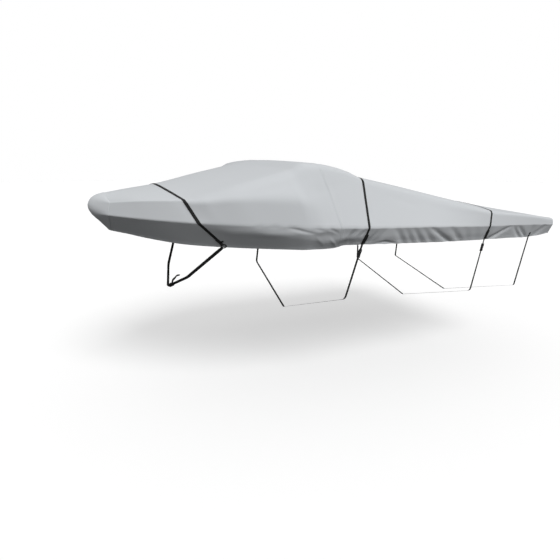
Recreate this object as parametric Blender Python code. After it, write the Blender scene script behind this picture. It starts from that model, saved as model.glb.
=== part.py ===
"""Fitted trailering cover for a small open boat with a windscreen: three cloth panels, three girth
straps and a stern tie. The boat inside it is not part of the model. The cover stands as the boat
holds it: hollow, open below, its skirt turned in under the gunwale and drawn down by the straps.

Stations run aft from the stem head and heights run up from the ground. The model's origin is the
underside of the cloth where the windscreen's top edge carries it, and +X points aft.
"""
import bpy
from math import cos, exp, pi, sin, sqrt
from mathutils import Vector

# Driving dimensions, in metres
MOUNT_STATION = 1.225     # the windscreen's top edge, aft of the stem head
MOUNT_HEIGHT = 1.946      # underside of the cloth there, above the ground
CLOTH = 0.002
SEAM_GAP = 0.0004
LAY_GAP = 0.0006          # webbing lies this far off the cloth
TAB_GAP = 0.0008          # and a tab this far off the strap that it holds
JOINT_GAP = 0.0004        # between the lengths of one strap
WEBBING = 0.0015

# How many steps each stretch of a half section takes, from the ridge to the hem
TOP_STEPS = 5
ROUND_STEPS = 3
RAIL_STEPS = (2, 2)       # from the shoulder to the rail, and on to the gunwale
KNEE_STEPS = (2, 3)       # from the gunwale to where the skirt turns under, and on to the hem
SIDE_STEPS = sum(RAIL_STEPS)
SKIRT_STEPS = sum(KNEE_STEPS)
HALF_STEPS = TOP_STEPS + ROUND_STEPS + SIDE_STEPS + SKIRT_STEPS

# The four lines that the cloth is drawn over
RIDGE = (  # station, height
    (-0.02, 1.699), (0.15, 1.726), (0.36, 1.757), (0.76, 1.845), (1.19, 1.937), (1.225, 1.948),
    (1.33, 1.945), (1.83, 1.853), (3.10, 1.580), (4.05, 1.414),
)
SHOULDER = (  # station, half breadth, height, radius of the bend
    (-0.005, 0.180, 1.636, 0.020), (0.196, 0.412, 1.657, 0.018), (0.447, 0.605, 1.667, 0.020),
    (0.580, 0.650, 1.704, 0.050), (0.780, 0.735, 1.760, 0.080), (1.050, 0.780, 1.832, 0.085),
    (1.200, 0.790, 1.872, 0.080), (1.320, 0.798, 1.922, 0.070), (1.455, 0.810, 1.915, 0.065),
    (1.600, 0.830, 1.887, 0.055), (1.700, 0.845, 1.854, 0.050), (1.805, 0.858, 1.806, 0.045),
    (1.92, 0.866, 1.782, 0.055), (2.40, 0.890, 1.685, 0.060), (2.79, 0.960, 1.589, 0.050),
    (3.12, 1.000, 1.512, 0.040), (3.48, 0.995, 1.466, 0.030), (3.78, 0.984, 1.431, 0.028),
    (4.05, 0.964, 1.392, 0.028),
)
GUNWALE = (  # station, half breadth, height
    (-0.02, 0.195, 1.541), (0.10, 0.345, 1.532), (0.32, 0.552, 1.517), (0.55, 0.710, 1.502),
    (0.94, 0.880, 1.481), (1.40, 0.990, 1.456), (1.75, 1.036, 1.436), (2.48, 1.044, 1.406),
    (3.00, 1.030, 1.377), (3.72, 0.994, 1.348), (4.05, 0.970, 1.330),
)
RAIL = (  # gunwale station, share of the way down from shoulder to gunwale, how far it bulges there
    (0.50, 0.10, 0.000), (0.57, 0.13, 0.030), (0.65, 0.18, 0.054), (0.75, 0.235, 0.053),
    (0.90, 0.315, 0.048), (1.08, 0.405, 0.055), (1.25, 0.475, 0.060), (1.34, 0.560, 0.036),
    (1.44, 0.610, 0.010), (1.56, 0.640, 0.000),
)
KNEE = (  # gunwale station, where the skirt turns under: shares of the way in and down to the hem
    (0.40, 0.50, 0.50), (0.56, 0.10, 0.20), (0.68, 0.13, 0.30), (0.87, 0.19, 0.36),
    (1.06, 0.20, 0.41), (1.27, 0.26, 0.48), (1.46, 0.48, 0.66), (1.62, 0.43, 0.53),
    (3.00, 0.46, 0.52), (3.60, 0.50, 0.50),
)
HEM = (  # station, half breadth, height
    (0.012, 0.030, 1.406), (0.118, 0.149, 1.388), (0.235, 0.276, 1.364), (0.47, 0.482, 1.328),
    (0.72, 0.632, 1.310), (1.156, 0.815, 1.286), (1.30, 0.870, 1.280), (1.38, 0.887, 1.280),
    (1.50, 0.909, 1.281), (1.61, 0.933, 1.302), (1.95, 0.974, 1.291), (2.60, 0.977, 1.263),
    (3.12, 0.967, 1.245), (3.45, 0.954, 1.236), (3.74, 0.941, 1.222), (3.90, 0.930, 1.226),
    (4.06, 0.920, 1.238),
)

# The rows of the cloth that are set by hand: the station where each crosses the four lines, how
# square its top is, and the steps to the next row. A strap's two edges are two rows.
ROWS = (  # name, ridge, shoulder, gunwale, hem, crown, steps
    ("nose seam", -0.020, -0.005, -0.020, 0.012, 1.8, 3),
    ("fore deck", 0.150, 0.220, 0.230, 0.300, 1.7, 3),
    ("bow strap fore", 0.361, 0.430, 0.507, 0.721, 1.6, 1),
    ("bow strap aft", 0.383, 0.452, 0.533, 0.747, 1.6, 5),
    ("foot of windscreen", 0.900, 0.970, 1.080, 1.160, 1.5, 3),
    ("top of windscreen", 1.225, 1.322, 1.430, 1.450, 1.35, 2),
    ("cross seam", 1.310, 1.436, 1.530, 1.560, 1.9, 4),
    ("mid strap fore", 1.792, 1.796, 1.750, 1.751, 2.6, 1),
    ("mid strap aft", 1.812, 1.816, 1.770, 1.771, 2.6, 28),
    ("aft strap fore", 3.115, 3.130, 3.094, 3.113, 3.6, 1),
    ("aft strap aft", 3.135, 3.150, 3.114, 3.133, 3.6, 12),
    ("stern tie fore", 3.759, 3.759, 3.759, 3.759, 3.2, 1),
    ("stern tie aft", 3.781, 3.781, 3.781, 3.781, 3.2, 4),
    ("transom", 4.050, 4.050, 4.050, 4.060, 3.2, 0),
)

# Troughs of the skirt: where each starts at the gunwale and ends at the hem
FOLDS = (  # gunwale station, hem station, depth, half width, drawn in by a strap
    (1.160, 1.220, 0.006, 0.055, False), (1.330, 1.360, 0.008, 0.050, False),
    (1.455, 1.500, 0.009, 0.045, False), (1.630, 1.610, 0.009, 0.045, False),
    (1.760, 1.761, 0.012, 0.050, True), (1.850, 1.795, 0.010, 0.034, False),
    (1.915, 1.860, 0.013, 0.036, False), (2.030, 2.160, 0.015, 0.036, False),
    (2.120, 2.250, 0.012, 0.034, False), (2.205, 2.350, 0.014, 0.034, False),
    (2.305, 2.470, 0.011, 0.038, False), (2.390, 2.670, 0.018, 0.042, False),
    (2.620, 2.800, 0.012, 0.042, False), (2.790, 2.890, 0.007, 0.050, False),
    (2.930, 2.990, 0.007, 0.050, False), (3.104, 3.123, 0.010, 0.050, True),
    (3.400, 3.170, 0.018, 0.042, False), (3.455, 3.620, 0.013, 0.038, False),
    (3.520, 3.710, 0.014, 0.034, False), (3.770, 3.770, 0.010, 0.045, True),
    (3.960, 3.830, 0.012, 0.045, False),
)
STARBOARD_FOLD_SHIFT = 0.025

# Centre line of the nose and of the transom flap, by the share of the way from hem to top row
NOSE_PROFILE = (  # share, station, height
    (0.0, 0.000, 1.410), (0.20, -0.062, 1.480), (0.38, -0.116, 1.538), (0.40, -0.122, 1.548),
    (0.45, -0.134, 1.570), (0.50, -0.139, 1.588), (0.60, -0.140, 1.606), (0.70, -0.137, 1.621),
    (0.75, -0.128, 1.641), (0.80, -0.115, 1.659), (0.85, -0.097, 1.673), (0.90, -0.072, 1.686),
    (1.0, -0.020, 1.699),
)
NOSE_ROUNDING = 0.25      # how blunt the nose is in plan, none being a straight sided point
SKIRT_SHARE = 0.4         # of the height of an end cap, and the side's and the bend's
SIDE_SHARE = 0.3
BEND_SHARE = 0.3
TRANSOM_BULGE = 0.034
TRANSOM_SQUARENESS = 8.0
TRANSOM_TAPER = 1.6       # how soon the flap's bulge fades towards its top
MOST_OF_SIDE = 0.6        # the most of the way to the rail that the shoulder's bend may take
SLOPE_REACH = 0.020       # either way along the gunwale, to find its direction
FOLD_AT_GUNWALE = 0.12    # how much of a trough's depth shows at the gunwale
FOLD_BELLY = 1.3          # how it swells between gunwale and hem
FOLD_AT_HEM = 0.60        # and what is added by the hem

# Girth straps: their two rows on the cloth, and where the webbing lies on the hull below the hem
GIRTHS = (  # name, rows, width, chine, keel, hull normal at the side, hull normal at the bottom
    ("mid", ("mid strap fore", "mid strap aft"), 0.020, (1.665, 0.874, 0.845), (1.560, 0.0, 0.560),
     (0.0, -1.0, -0.2), (0.0, -0.3, -1.0)),
    ("aft", ("aft strap fore", "aft strap aft"), 0.020, (3.075, 0.895, 0.752), (3.060, 0.0, 0.500),
     (0.0, -1.0, -0.2), (0.0, -0.3, -1.0)),
)
BOW_ROWS = ("bow strap fore", "bow strap aft")
BOW_WIDTH = 0.026
BOW_CHINE = (0.528, 0.300, 1.029)
BOW_KEEL = (0.440, 0.0, 0.897)
BOW_SIDE_NORMAL = (-0.55, -0.65, -0.52)
BOW_STEM_NORMAL = (-0.60, -0.45, -0.66)
TIE_ROWS = ("stern tie fore", "stern tie aft")
TIE_WIDTH = 0.022
TIE_CHINE = (3.690, 0.895, 0.735)
TIE_KEEL = (3.680, 0.0, 0.490)
TIE_SIDE_NORMAL = (0.0, -1.0, -0.15)
TIE_KEEL_NORMAL = (0.0, -0.3, -1.0)
TIE_TAB_LENGTH = 0.050    # of webbing on the skirt above the hem
PAST_HEM = 0.020
TIE_PAST_HEM = 0.012

# Webbing tabs sewn to the skirt, through which a strap runs: their ends, above the hem
GIRTH_TAB = (0.105, 0.012)
BOW_TAB = (0.096, 0.060)
TAB_WIDTH = 0.034
RING_SPACING = 0.003      # the least between two rings of a band

# Ring at the bow strap's turn on the hem, and the gathered webbing that passes over it
RING_RADIUS = 0.019
RING_WIRE = 0.0035
RING_ABOVE_HEM = 0.020
GATHER_WIDTH = 0.022
GATHER_INSIDE = 0.012     # from the ring's middle to the end of the webbing
GATHER_OUTSIDE = 0.0255   # and to where it leaves the wire
GATHER_LENGTH = 0.014     # over which it spreads to its full width

# Free ends: a tag of webbing by each hem ring, and the tail of the bow strap past its buckle
TAG_ABOVE_HEM = 0.070
TAG_RISE = 0.6            # how much it points up for each length aft
TAG_WIDTH = 0.014
TAG_LENGTH = 0.034
TAIL_WIDTH = 0.016
TAIL_ON_BUCKLE = 0.026
TAIL = (  # station, half breadth, height
    (0.443, 0.170, 0.990), (0.459, 0.195, 1.013), (0.466, 0.215, 1.033), (0.482, 0.245, 1.040),
)

# Side-release buckle
BUCKLE_LENGTH = 0.070
BUCKLE_DEPTH = 0.009
BUCKLE_CHEEK = 0.005      # plastic each side of the webbing
BUCKLE_WAIST = 0.003
BUCKLE_BEVEL = 0.0015
BUCKLE_OUTLINE = (  # at the waist, and the share of the half length
    (False, -1.0), (False, -0.30), (True, -0.15), (True, 0.35), (False, 0.55), (False, 1.0),
)
BUCKLE_POCKET = 0.012
POCKET_CLEARANCE = 0.0004
BUCKLE_BELOW_HEM = 0.074
STEM_BUCKLE_FROM_KEEL = 0.050

COLOURS = {  # base colour, roughness, metallic
    "cover cloth": ((0.56, 0.58, 0.60, 1.0), 0.75, 0.0),
    "webbing": ((0.012, 0.012, 0.013, 1.0), 0.80, 0.0),
    "buckle plastic": ((0.010, 0.010, 0.011, 1.0), 0.45, 0.0),
}


def smooth(table, column, station):
    """One column of a table at a station, on a monotone cubic through its rows."""
    xs = [row[0] for row in table]
    ys = [row[column] for row in table]
    if station <= xs[0]:
        return ys[0]
    if station >= xs[-1]:
        return ys[-1]
    steps = len(xs) - 1
    slopes = [(ys[k + 1] - ys[k]) / (xs[k + 1] - xs[k]) for k in range(steps)]
    tangents = [slopes[0]]
    for before, after in zip(slopes, slopes[1:]):
        tangents.append(2 * before * after / (before + after) if before * after > 0 else 0.0)
    tangents.append(slopes[-1])
    k = max(k for k in range(steps) if xs[k] <= station)
    width = xs[k + 1] - xs[k]
    t = (station - xs[k]) / width
    return (
        (2 * t ** 3 - 3 * t ** 2 + 1) * ys[k]
        + (t ** 3 - 2 * t ** 2 + t) * width * tangents[k]
        + (3 * t ** 2 - 2 * t ** 3) * ys[k + 1]
        + (t ** 3 - t ** 2) * width * tangents[k + 1]
    )


def place(station, across, height):
    """A point of the boat's own frame as a point of the model."""
    return Vector((station - MOUNT_STATION, across, height - MOUNT_HEIGHT))


def fold_depth(station, share, side):
    """How far the troughs of the skirt draw it in, share being the way from gunwale to hem."""
    shift = 0.0 if side < 0 else STARBOARD_FOLD_SHIFT
    reach = FOLD_AT_GUNWALE + FOLD_BELLY * share * (1 - share) + FOLD_AT_HEM * share
    depth = 0.0
    for at_gunwale, at_hem, deep, half_width, under_strap in FOLDS:
        middle = at_gunwale + (at_hem - at_gunwale) * share + (0.0 if under_strap else shift)
        depth += deep * exp(-((station - middle) / half_width) ** 2)
    return depth * reach


def bent(start, corner, end, steps):
    """The points from start by way of a corner to an end, each with its share of the way there."""
    before, after = (corner - start).length, (end - corner).length
    turn = before / (before + after)
    first, second = steps
    points = [(start.lerp(corner, k / first), turn * k / first) for k in range(1, first + 1)]
    return points + [
        (corner.lerp(end, k / second), turn + (1 - turn) * k / second) for k in range(1, second + 1)]


def half_section(row, side):
    """The outer face of one row of cloth, from the ridge out to the hem on one side."""
    _, at_ridge, at_shoulder, at_gunwale, at_hem, crown, _ = row
    ridge = place(at_ridge, 0.0, smooth(RIDGE, 1, at_ridge))
    shoulder = place(
        at_shoulder, side * smooth(SHOULDER, 1, at_shoulder), smooth(SHOULDER, 2, at_shoulder))
    gunwale = place(
        at_gunwale, side * smooth(GUNWALE, 1, at_gunwale), smooth(GUNWALE, 2, at_gunwale))
    hem = place(at_hem, side * smooth(HEM, 1, at_hem), smooth(HEM, 2, at_hem))
    rail = shoulder + (gunwale - shoulder) * smooth(RAIL, 1, at_gunwale)
    rail.y += side * smooth(RAIL, 2, at_gunwale)
    radius = smooth(SHOULDER, 3, at_shoulder)
    round_start = shoulder + (ridge - shoulder).normalized() * radius
    round_end = shoulder.lerp(rail, min(MOST_OF_SIDE, radius / (rail - shoulder).length))

    points = []
    for k in range(TOP_STEPS + 1):
        across = sin(pi / 2 * k / TOP_STEPS)
        points.append(Vector((
            ridge.x + (round_start.x - ridge.x) * across ** 2,
            round_start.y * across,
            round_start.z + (ridge.z - round_start.z) * (1 - across ** crown),
        )))
    for k in range(1, ROUND_STEPS + 1):
        t = k / ROUND_STEPS
        points.append(round_start * (1 - t) ** 2 + shoulder * (2 * t * (1 - t)) + round_end * t ** 2)
    points += [point for point, _ in bent(round_end, rail, gunwale, RAIL_STEPS)]

    share_in, share_down = (smooth(KNEE, column, at_gunwale) for column in (1, 2))
    across = hem - gunwale
    knee = gunwale + Vector((across.x * share_down, across.y * share_in, across.z * share_down))
    ahead = smooth(GUNWALE, 1, at_gunwale + SLOPE_REACH) - smooth(GUNWALE, 1, at_gunwale - SLOPE_REACH)
    inward = Vector((ahead / (2 * SLOPE_REACH), -side, 0.0)).normalized()
    for point, share in bent(gunwale, knee, hem, KNEE_STEPS):
        station = at_gunwale + (at_hem - at_gunwale) * share
        points.append(point + inward * fold_depth(station, share, side))
    return points


def full_rows():
    """Every row of the cloth between the nose seam and the transom, port hem to starboard hem."""
    specs = []
    for row, following in zip(ROWS, ROWS[1:]):
        for k in range(row[6]):
            share = k / row[6]
            blend = [a + (b - a) * share for a, b in zip(row[1:6], following[1:6])]
            specs.append((row[0] if k == 0 else "", *blend, 0))
    specs.append(ROWS[-1])
    names = [spec[0] for spec in specs]
    rows = [half_section(spec, -1)[:0:-1] + half_section(spec, 1) for spec in specs]
    return names, rows


def profile_at(share):
    """The centre line of the nose."""
    return place(smooth(NOSE_PROFILE, 1, share), 0.0, smooth(NOSE_PROFILE, 2, share))


def cap_share(level):
    """How far up an end cap a level lies, from the hem to the row that it hangs from."""
    if level <= SKIRT_STEPS:
        return SKIRT_SHARE * level / SKIRT_STEPS
    if level <= SKIRT_STEPS + SIDE_STEPS:
        return SKIRT_SHARE + SIDE_SHARE * (level - SKIRT_STEPS) / SIDE_STEPS
    return SKIRT_SHARE + SIDE_SHARE + BEND_SHARE * (level - SKIRT_STEPS - SIDE_STEPS) / ROUND_STEPS


def cap_point(section, level, column, is_nose):
    """A point of the cloth beyond an end row: level counts up from the hem, column from port."""
    share = cap_share(level)
    across = sin(pi / 2 * (column - TOP_STEPS) / TOP_STEPS)
    side = section[level] if across < 0 else section[-1 - level]
    if is_nose:
        centre = profile_at(share)
        far = sqrt(1 + NOSE_ROUNDING ** 2)
        out = (far - sqrt(across ** 2 + NOSE_ROUNDING ** 2)) / (far - NOSE_ROUNDING)
        rise = (centre.z - side.z) * (1 - across ** 2)
        return Vector((
            side.x + (centre.x - side.x) * out, abs(side.y) * across, side.z + rise))
    out = (1 - abs(across) ** TRANSOM_SQUARENESS) ** (1 / TRANSOM_SQUARENESS)
    bulge = TRANSOM_BULGE * min(1.0, sqrt(max(0.0, 1 - share)) * TRANSOM_TAPER)
    crown = section[HALF_STEPS].z - section[HALF_STEPS - TOP_STEPS].z
    return Vector((
        side.x + bulge * out, abs(side.y) * across, side.z + crown * share ** 3 * (1 - across ** 2)))


class Skin:
    """The outer face of the whole cover, as points and four-sided faces with their panel's name."""

    def __init__(self):
        self.names, rows = full_rows()
        self.width = 2 * HALF_STEPS + 1
        self.points = [point for row in rows for point in row]
        self.faces = []
        seam = self.names.index("cross seam")
        for r in range(len(rows) - 1):
            panel = "panel_fore" if r < seam else "panel_aft"
            for c in range(self.width - 1):
                corners = (self.at(r, c), self.at(r + 1, c), self.at(r + 1, c + 1), self.at(r, c + 1))
                self.faces.append((panel, corners))
        self.add_cap(rows[0], 0, "panel_nose", True)
        self.add_cap(rows[-1], len(rows) - 1, "panel_aft", False)
        self.normals = self.point_normals()

    def at(self, row, column):
        return row * self.width + column

    def row(self, name):
        return self.names.index(name)

    def add_cap(self, section, row, panel, is_nose):
        levels = HALF_STEPS - TOP_STEPS
        columns = 2 * TOP_STEPS
        index = {}
        for level in range(levels + 1):
            for column in range(columns + 1):
                if level == levels:
                    index[level, column] = self.at(row, levels + column)
                elif column == 0:
                    index[level, column] = self.at(row, level)
                elif column == columns:
                    index[level, column] = self.at(row, self.width - 1 - level)
                else:
                    index[level, column] = len(self.points)
                    self.points.append(cap_point(section, level, column, is_nose))
        for level in range(levels):
            for column in range(columns):
                corners = [
                    index[level, column], index[level, column + 1],
                    index[level + 1, column + 1], index[level + 1, column],
                ]
                self.faces.append((panel, tuple(corners[::-1] if is_nose else corners)))

    def point_normals(self):
        normals = [Vector((0.0, 0.0, 0.0)) for _ in self.points]
        for _, corners in self.faces:
            a, b, c, d = (self.points[k] for k in corners)
            normal = (c - a).cross(d - b)
            for k in corners:
                normals[k] += normal
        return [normal.normalized() for normal in normals]


def material(name):
    """A plain finish from the table of colours."""
    colour, roughness, metallic = COLOURS[name]
    made = bpy.data.materials.get(name) or bpy.data.materials.new(name)
    made.use_nodes = True
    shader = made.node_tree.nodes["Principled BSDF"]
    shader.inputs["Base Color"].default_value = colour
    shader.inputs["Roughness"].default_value = roughness
    shader.inputs["Metallic"].default_value = metallic
    return made


def solid(name, points, faces, finish):
    """An object of its own from points and faces."""
    mesh = bpy.data.meshes.new(name)
    mesh.from_pydata([tuple(point) for point in points], [], faces)
    mesh.validate()
    mesh.update()
    mesh.materials.append(material(finish))
    made = bpy.data.objects.new(name, mesh)
    bpy.context.collection.objects.link(made)
    return made


def make_panel(skin, panel):
    """One cut panel of the cloth: its outer face, its inner face and the edge between them."""
    faces = [corners for name, corners in skin.faces if name == panel]
    used = sorted({k for corners in faces for k in corners})
    others = {k for name, corners in skin.faces if name != panel for k in corners}
    beside = {k: [] for k in used}
    for corners in faces:
        for a, b in zip(corners, corners[1:] + corners[:1]):
            beside[a].append(b)
            beside[b].append(a)
    outer = []
    for k in used:
        point = skin.points[k].copy()
        if k in others:
            inside = [skin.points[n] - point for n in beside[k] if n not in others]
            pull = sum(inside, Vector((0.0, 0.0, 0.0))).normalized()
            point += pull * (SEAM_GAP / 2)
        outer.append(point)
    inner = [point - skin.normals[k] * CLOTH for point, k in zip(outer, used)]
    place_of = {k: n for n, k in enumerate(used)}
    count = len(used)
    made_faces = []
    edges = {}
    for corners in faces:
        a, b, c, d = (place_of[k] for k in corners)
        made_faces += [(a, b, c), (a, c, d)]
        made_faces += [(a + count, c + count, b + count), (a + count, d + count, c + count)]
        for edge in ((a, b), (b, c), (c, d), (d, a)):
            edges[edge] = True
    for a, b in edges:
        if (b, a) not in edges:
            made_faces += [(b, a, a + count), (b, a + count, b + count)]
    made = solid(panel, outer + inner, made_faces, "cover cloth")
    made.data.shade_smooth()
    return made


def band(name, rings, low=0.0, high=WEBBING):
    """A length of webbing through rings, each a middle, a width vector and an outward normal."""
    points = []
    for middle, half_width, normal in rings:
        points += [
            middle - half_width + normal * low, middle + half_width + normal * low,
            middle + half_width + normal * high, middle - half_width + normal * high,
        ]
    faces = []
    for k in range(len(rings) - 1):
        for side in range(4):
            a, b = 4 * k + side, 4 * k + (side + 1) % 4
            c, d = b + 4, a + 4
            faces += [(a, d, c), (a, c, b)]
    last = 4 * (len(rings) - 1)
    faces += [(0, 1, 2), (0, 2, 3), (last, last + 2, last + 1), (last, last + 3, last + 2)]
    first, second = rings[0], rings[1]
    turn = (second[0] - first[0]).cross(first[1]).dot(first[2])
    if turn > 0:
        faces = [face[::-1] for face in faces]
    return solid(name, points, faces, "webbing")


def frame_of(start, end, hint):
    """Direction, width and outward normal of a straight run, the width pointing aft."""
    along = (end - start).normalized()
    wide = along.cross(Vector(hint)).normalized()
    if wide.x < 0:
        wide = -wide
    out = wide.cross(along).normalized()
    if out.dot(Vector(hint)) < 0:
        out = -out
    return along, wide, out


def hull_point(point, side):
    """A point on the hull, given by its half breadth, on the side asked for."""
    return place(point[0], side * point[1], point[2])


def hull_normal(normal, side):
    """A normal given for port, on the side asked for."""
    return Vector((normal[0], -side * normal[1], normal[2]))


def cloth_rings(skin, rows):
    """Rings of webbing on the cloth between two of its rows, one at each column."""
    fore, aft = (skin.row(name) for name in rows)
    rings = []
    for column in range(skin.width):
        a, b = skin.at(fore, column), skin.at(aft, column)
        normal = (skin.normals[a] + skin.normals[b]).normalized()
        middle = (skin.points[a] + skin.points[b]) / 2 + normal * LAY_GAP
        rings.append((middle, (skin.points[b] - skin.points[a]) / 2, normal))
    return rings


def runs_up(rings, side):
    """A strap's rings from the hem up on one side, each with its distance along the webbing."""
    ordered = rings if side < 0 else rings[::-1]
    distance = 0.0
    found = [(0.0, ordered[0])]
    for before, after in zip(ordered, ordered[1:]):
        distance += (after[0] - before[0]).length
        found.append((distance, after))
    return found


def up_from_hem(rings, distance, side, width=None):
    """The ring of a strap some way above the hem."""
    found = runs_up(rings, side)
    k = max(k for k in range(len(found) - 1) if found[k][0] <= distance)
    (low, before), (high, after) = found[k], found[k + 1]
    t = (distance - low) / (high - low)
    middle, half, normal = (a.lerp(b, t) for a, b in zip(before, after))
    if width:
        half = half.normalized() * width / 2
    return middle, half, normal.normalized()


def between(rings, top, bottom, side, width=None):
    """The rings of a strap down one side from one height above the hem to another."""
    inside = [distance for distance, _ in runs_up(rings, side)
              if bottom + RING_SPACING < distance < top - RING_SPACING]
    return [up_from_hem(rings, distance, side, width) for distance in [top] + inside[::-1] + [bottom]]


def cloth_order(path, side):
    """A path given from the skirt down, in the order of the cloth's own columns."""
    return path[::-1] if side < 0 else path


def make_tab(name, rings, ends, side):
    """A tab of webbing sewn to the skirt over a strap, between two heights above the hem."""
    low = WEBBING + TAB_GAP
    band(name, cloth_order(between(rings, *ends, side, TAB_WIDTH), side), low, low + WEBBING)


def make_run(name, start, start_frame, end, end_frame, width, end_gap):
    """A straight length of webbing between two rings, its far end drawn back by a gap."""
    along = (end - start).normalized()
    band(name, [
        (start, start_frame[1] * width / 2, start_frame[2]),
        (end - along * end_gap, end_frame[1] * width / 2, end_frame[2]),
    ])


def mitre(one, other):
    """The frame that two runs share where they meet."""
    return tuple((a + b).normalized() for a, b in zip(one, other))


def upright(frame):
    """A run's frame at the keel, turned square to the middle plane so that both sides meet there."""
    along, wide, out = frame
    return along, Vector((wide.x, 0.0, wide.z)).normalized(), Vector((out.x, 0.0, out.z)).normalized()


def make_hull_loop(name, start, side, width, chine, keel, side_normal, keel_normal, from_start):
    """The webbing of one side from below the hem down to the chine and in to the keel."""
    word = "port" if side < 0 else "starboard"
    corner = hull_point(chine, side)
    bottom = hull_point(keel, side)
    down = frame_of(start, corner, hull_normal(side_normal, side))
    under = frame_of(corner, bottom, hull_normal(keel_normal, side))
    meeting = mitre(down, under)
    make_run(f"{name}_side_{word}", start + down[0] * from_start, down, corner, meeting, width,
             JOINT_GAP / 2)
    inward = (bottom - corner).normalized()
    make_run(f"{name}_bottom_{word}", corner + inward * JOINT_GAP / 2, meeting, bottom, upright(under), width,
             JOINT_GAP / 2)
    return down


def make_buckle(name, centre, frame, webbing_width):
    """A side-release buckle on a strap, with a pocket at each end for the webbing."""
    along, wide, out = frame
    half_width = webbing_width / 2 + BUCKLE_CHEEK
    half_length = BUCKLE_LENGTH / 2
    waist = half_width - BUCKLE_WAIST
    outline = [
        (waist if at_waist else half_width, share * half_length) for at_waist, share in BUCKLE_OUTLINE]
    outline += [(-x, y) for x, y in outline[::-1]]
    made = prism(name, outline, BUCKLE_DEPTH, centre, frame, "buckle plastic")
    made.data.shade_flat()
    bevel = made.modifiers.new("Soft edges", "BEVEL")
    bevel.width = BUCKLE_BEVEL
    bevel.segments = 1
    slot_half = webbing_width / 2 + POCKET_CLEARANCE
    for end in (-1, 1):
        middle = end * half_length
        slot = [
            (slot_half, middle - BUCKLE_POCKET), (slot_half, middle + BUCKLE_POCKET),
            (-slot_half, middle + BUCKLE_POCKET), (-slot_half, middle - BUCKLE_POCKET),
        ]
        cutter = prism(f"{name}_slot_{'top' if end < 0 else 'bottom'}", slot,
                       WEBBING + 2 * POCKET_CLEARANCE, centre, frame, "buckle plastic")
        cutter.hide_render = True
        cutter.display_type = "WIRE"
        cut = made.modifiers.new("Pocket", "BOOLEAN")
        cut.operation = "DIFFERENCE"
        cut.solver = "EXACT"
        cut.object = cutter


def prism(name, outline, depth, centre, frame, finish):
    """A flat outline given across and along a strap, as a plate of some depth."""
    along, wide, out = frame
    count = len(outline)
    points = []
    for level in (-depth / 2, depth / 2):
        points += [centre + wide * x + along * y + out * level for x, y in outline]
    faces = [tuple(range(count))[::-1], tuple(range(count, 2 * count))]
    for k in range(count):
        n = (k + 1) % count
        faces.append((k, n, n + count, k + count))
    if wide.cross(along).dot(out) < 0:
        faces = [face[::-1] for face in faces]
    return solid(name, points, faces, finish)


def make_ring(name, centre, normal):
    """A round ring of plastic-coated wire lying on the cloth."""
    bpy.ops.mesh.primitive_torus_add(
        major_segments=24, minor_segments=8, major_radius=RING_RADIUS, minor_radius=RING_WIRE)
    made = bpy.context.object
    made.name = name
    made.data.name = name
    made.location = centre
    made.rotation_mode = "QUATERNION"
    made.rotation_quaternion = Vector((0.0, 0.0, 1.0)).rotation_difference(normal)
    made.data.materials.append(material("buckle plastic"))
    made.data.shade_smooth()


def make_girth(skin, name, rows, width, chine, keel, side_normal, keel_normal):
    """A strap right round cover and hull, buckled below the hem on the port side."""
    rings = cloth_rings(skin, rows)
    into_buckle = BUCKLE_BELOW_HEM - BUCKLE_LENGTH / 2 + BUCKLE_POCKET - POCKET_CLEARANCE
    out_of_buckle = BUCKLE_BELOW_HEM + BUCKLE_LENGTH / 2 - BUCKLE_POCKET + POCKET_CLEARANCE
    ends = {}
    for side in (-1, 1):
        start = rings[0 if side < 0 else -1][0]
        reach = out_of_buckle if side < 0 else PAST_HEM + JOINT_GAP
        frame = make_hull_loop(f"{name}_strap", start, side, width, chine, keel, side_normal,
                               keel_normal, reach)
        past = (PAST_HEM, into_buckle) if side < 0 else (PAST_HEM / 2, PAST_HEM)
        ends[side] = [(start + frame[0] * d, frame[1] * width / 2, frame[2]) for d in past]
        make_tab(f"{name}_tab_{'port' if side < 0 else 'starboard'}", rings, GIRTH_TAB, side)
        if side < 0:
            centre = start + frame[0] * BUCKLE_BELOW_HEM + frame[2] * WEBBING / 2
            make_buckle(f"{name}_buckle", centre, frame, width)
    band(f"{name}_strap_over", ends[-1][::-1] + rings + ends[1])


def gathered_end(centre, normal, direction, aft):
    """Two rings of webbing drawn together over a ring's wire, from inside the ring outwards."""
    flat = (direction - normal * direction.dot(normal)).normalized()
    across = normal.cross(flat)
    if across.dot(aft) < 0:
        across = -across
    lifted = centre + normal * (RING_WIRE + LAY_GAP)
    return [
        (lifted + flat * distance, across * GATHER_WIDTH / 2, normal)
        for distance in (GATHER_INSIDE, GATHER_OUTSIDE)
    ]


def make_bow_strap(skin):
    """The strap over the foredeck, which turns at a ring on the hem and runs down to the stem."""
    rings = cloth_rings(skin, BOW_ROWS)
    leaves = RING_ABOVE_HEM + GATHER_OUTSIDE + GATHER_LENGTH
    above = sum(distance < leaves + RING_SPACING for distance, _ in runs_up(rings, -1))
    path = rings[above:-above]
    for side in (-1, 1):
        word = "port" if side < 0 else "starboard"
        middle, half_width, normal = up_from_hem(rings, RING_ABOVE_HEM, side)
        centre = middle + normal * RING_WIRE
        make_ring(f"bow_ring_{word}", centre, normal)
        up = up_from_hem(rings, leaves, side)[0] - middle
        end = [up_from_hem(rings, leaves, side), *gathered_end(centre, normal, up, half_width)[::-1]]
        path = end[::-1] + path if side < 0 else path + end
        make_tab(f"bow_tab_{word}", rings, BOW_TAB, side)
        make_tag(f"bow_tag_{word}", up_from_hem(rings, TAG_ABOVE_HEM, side))
        make_stem_run(centre, normal, side, word)
    band("bow_strap_over", path)


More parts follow.
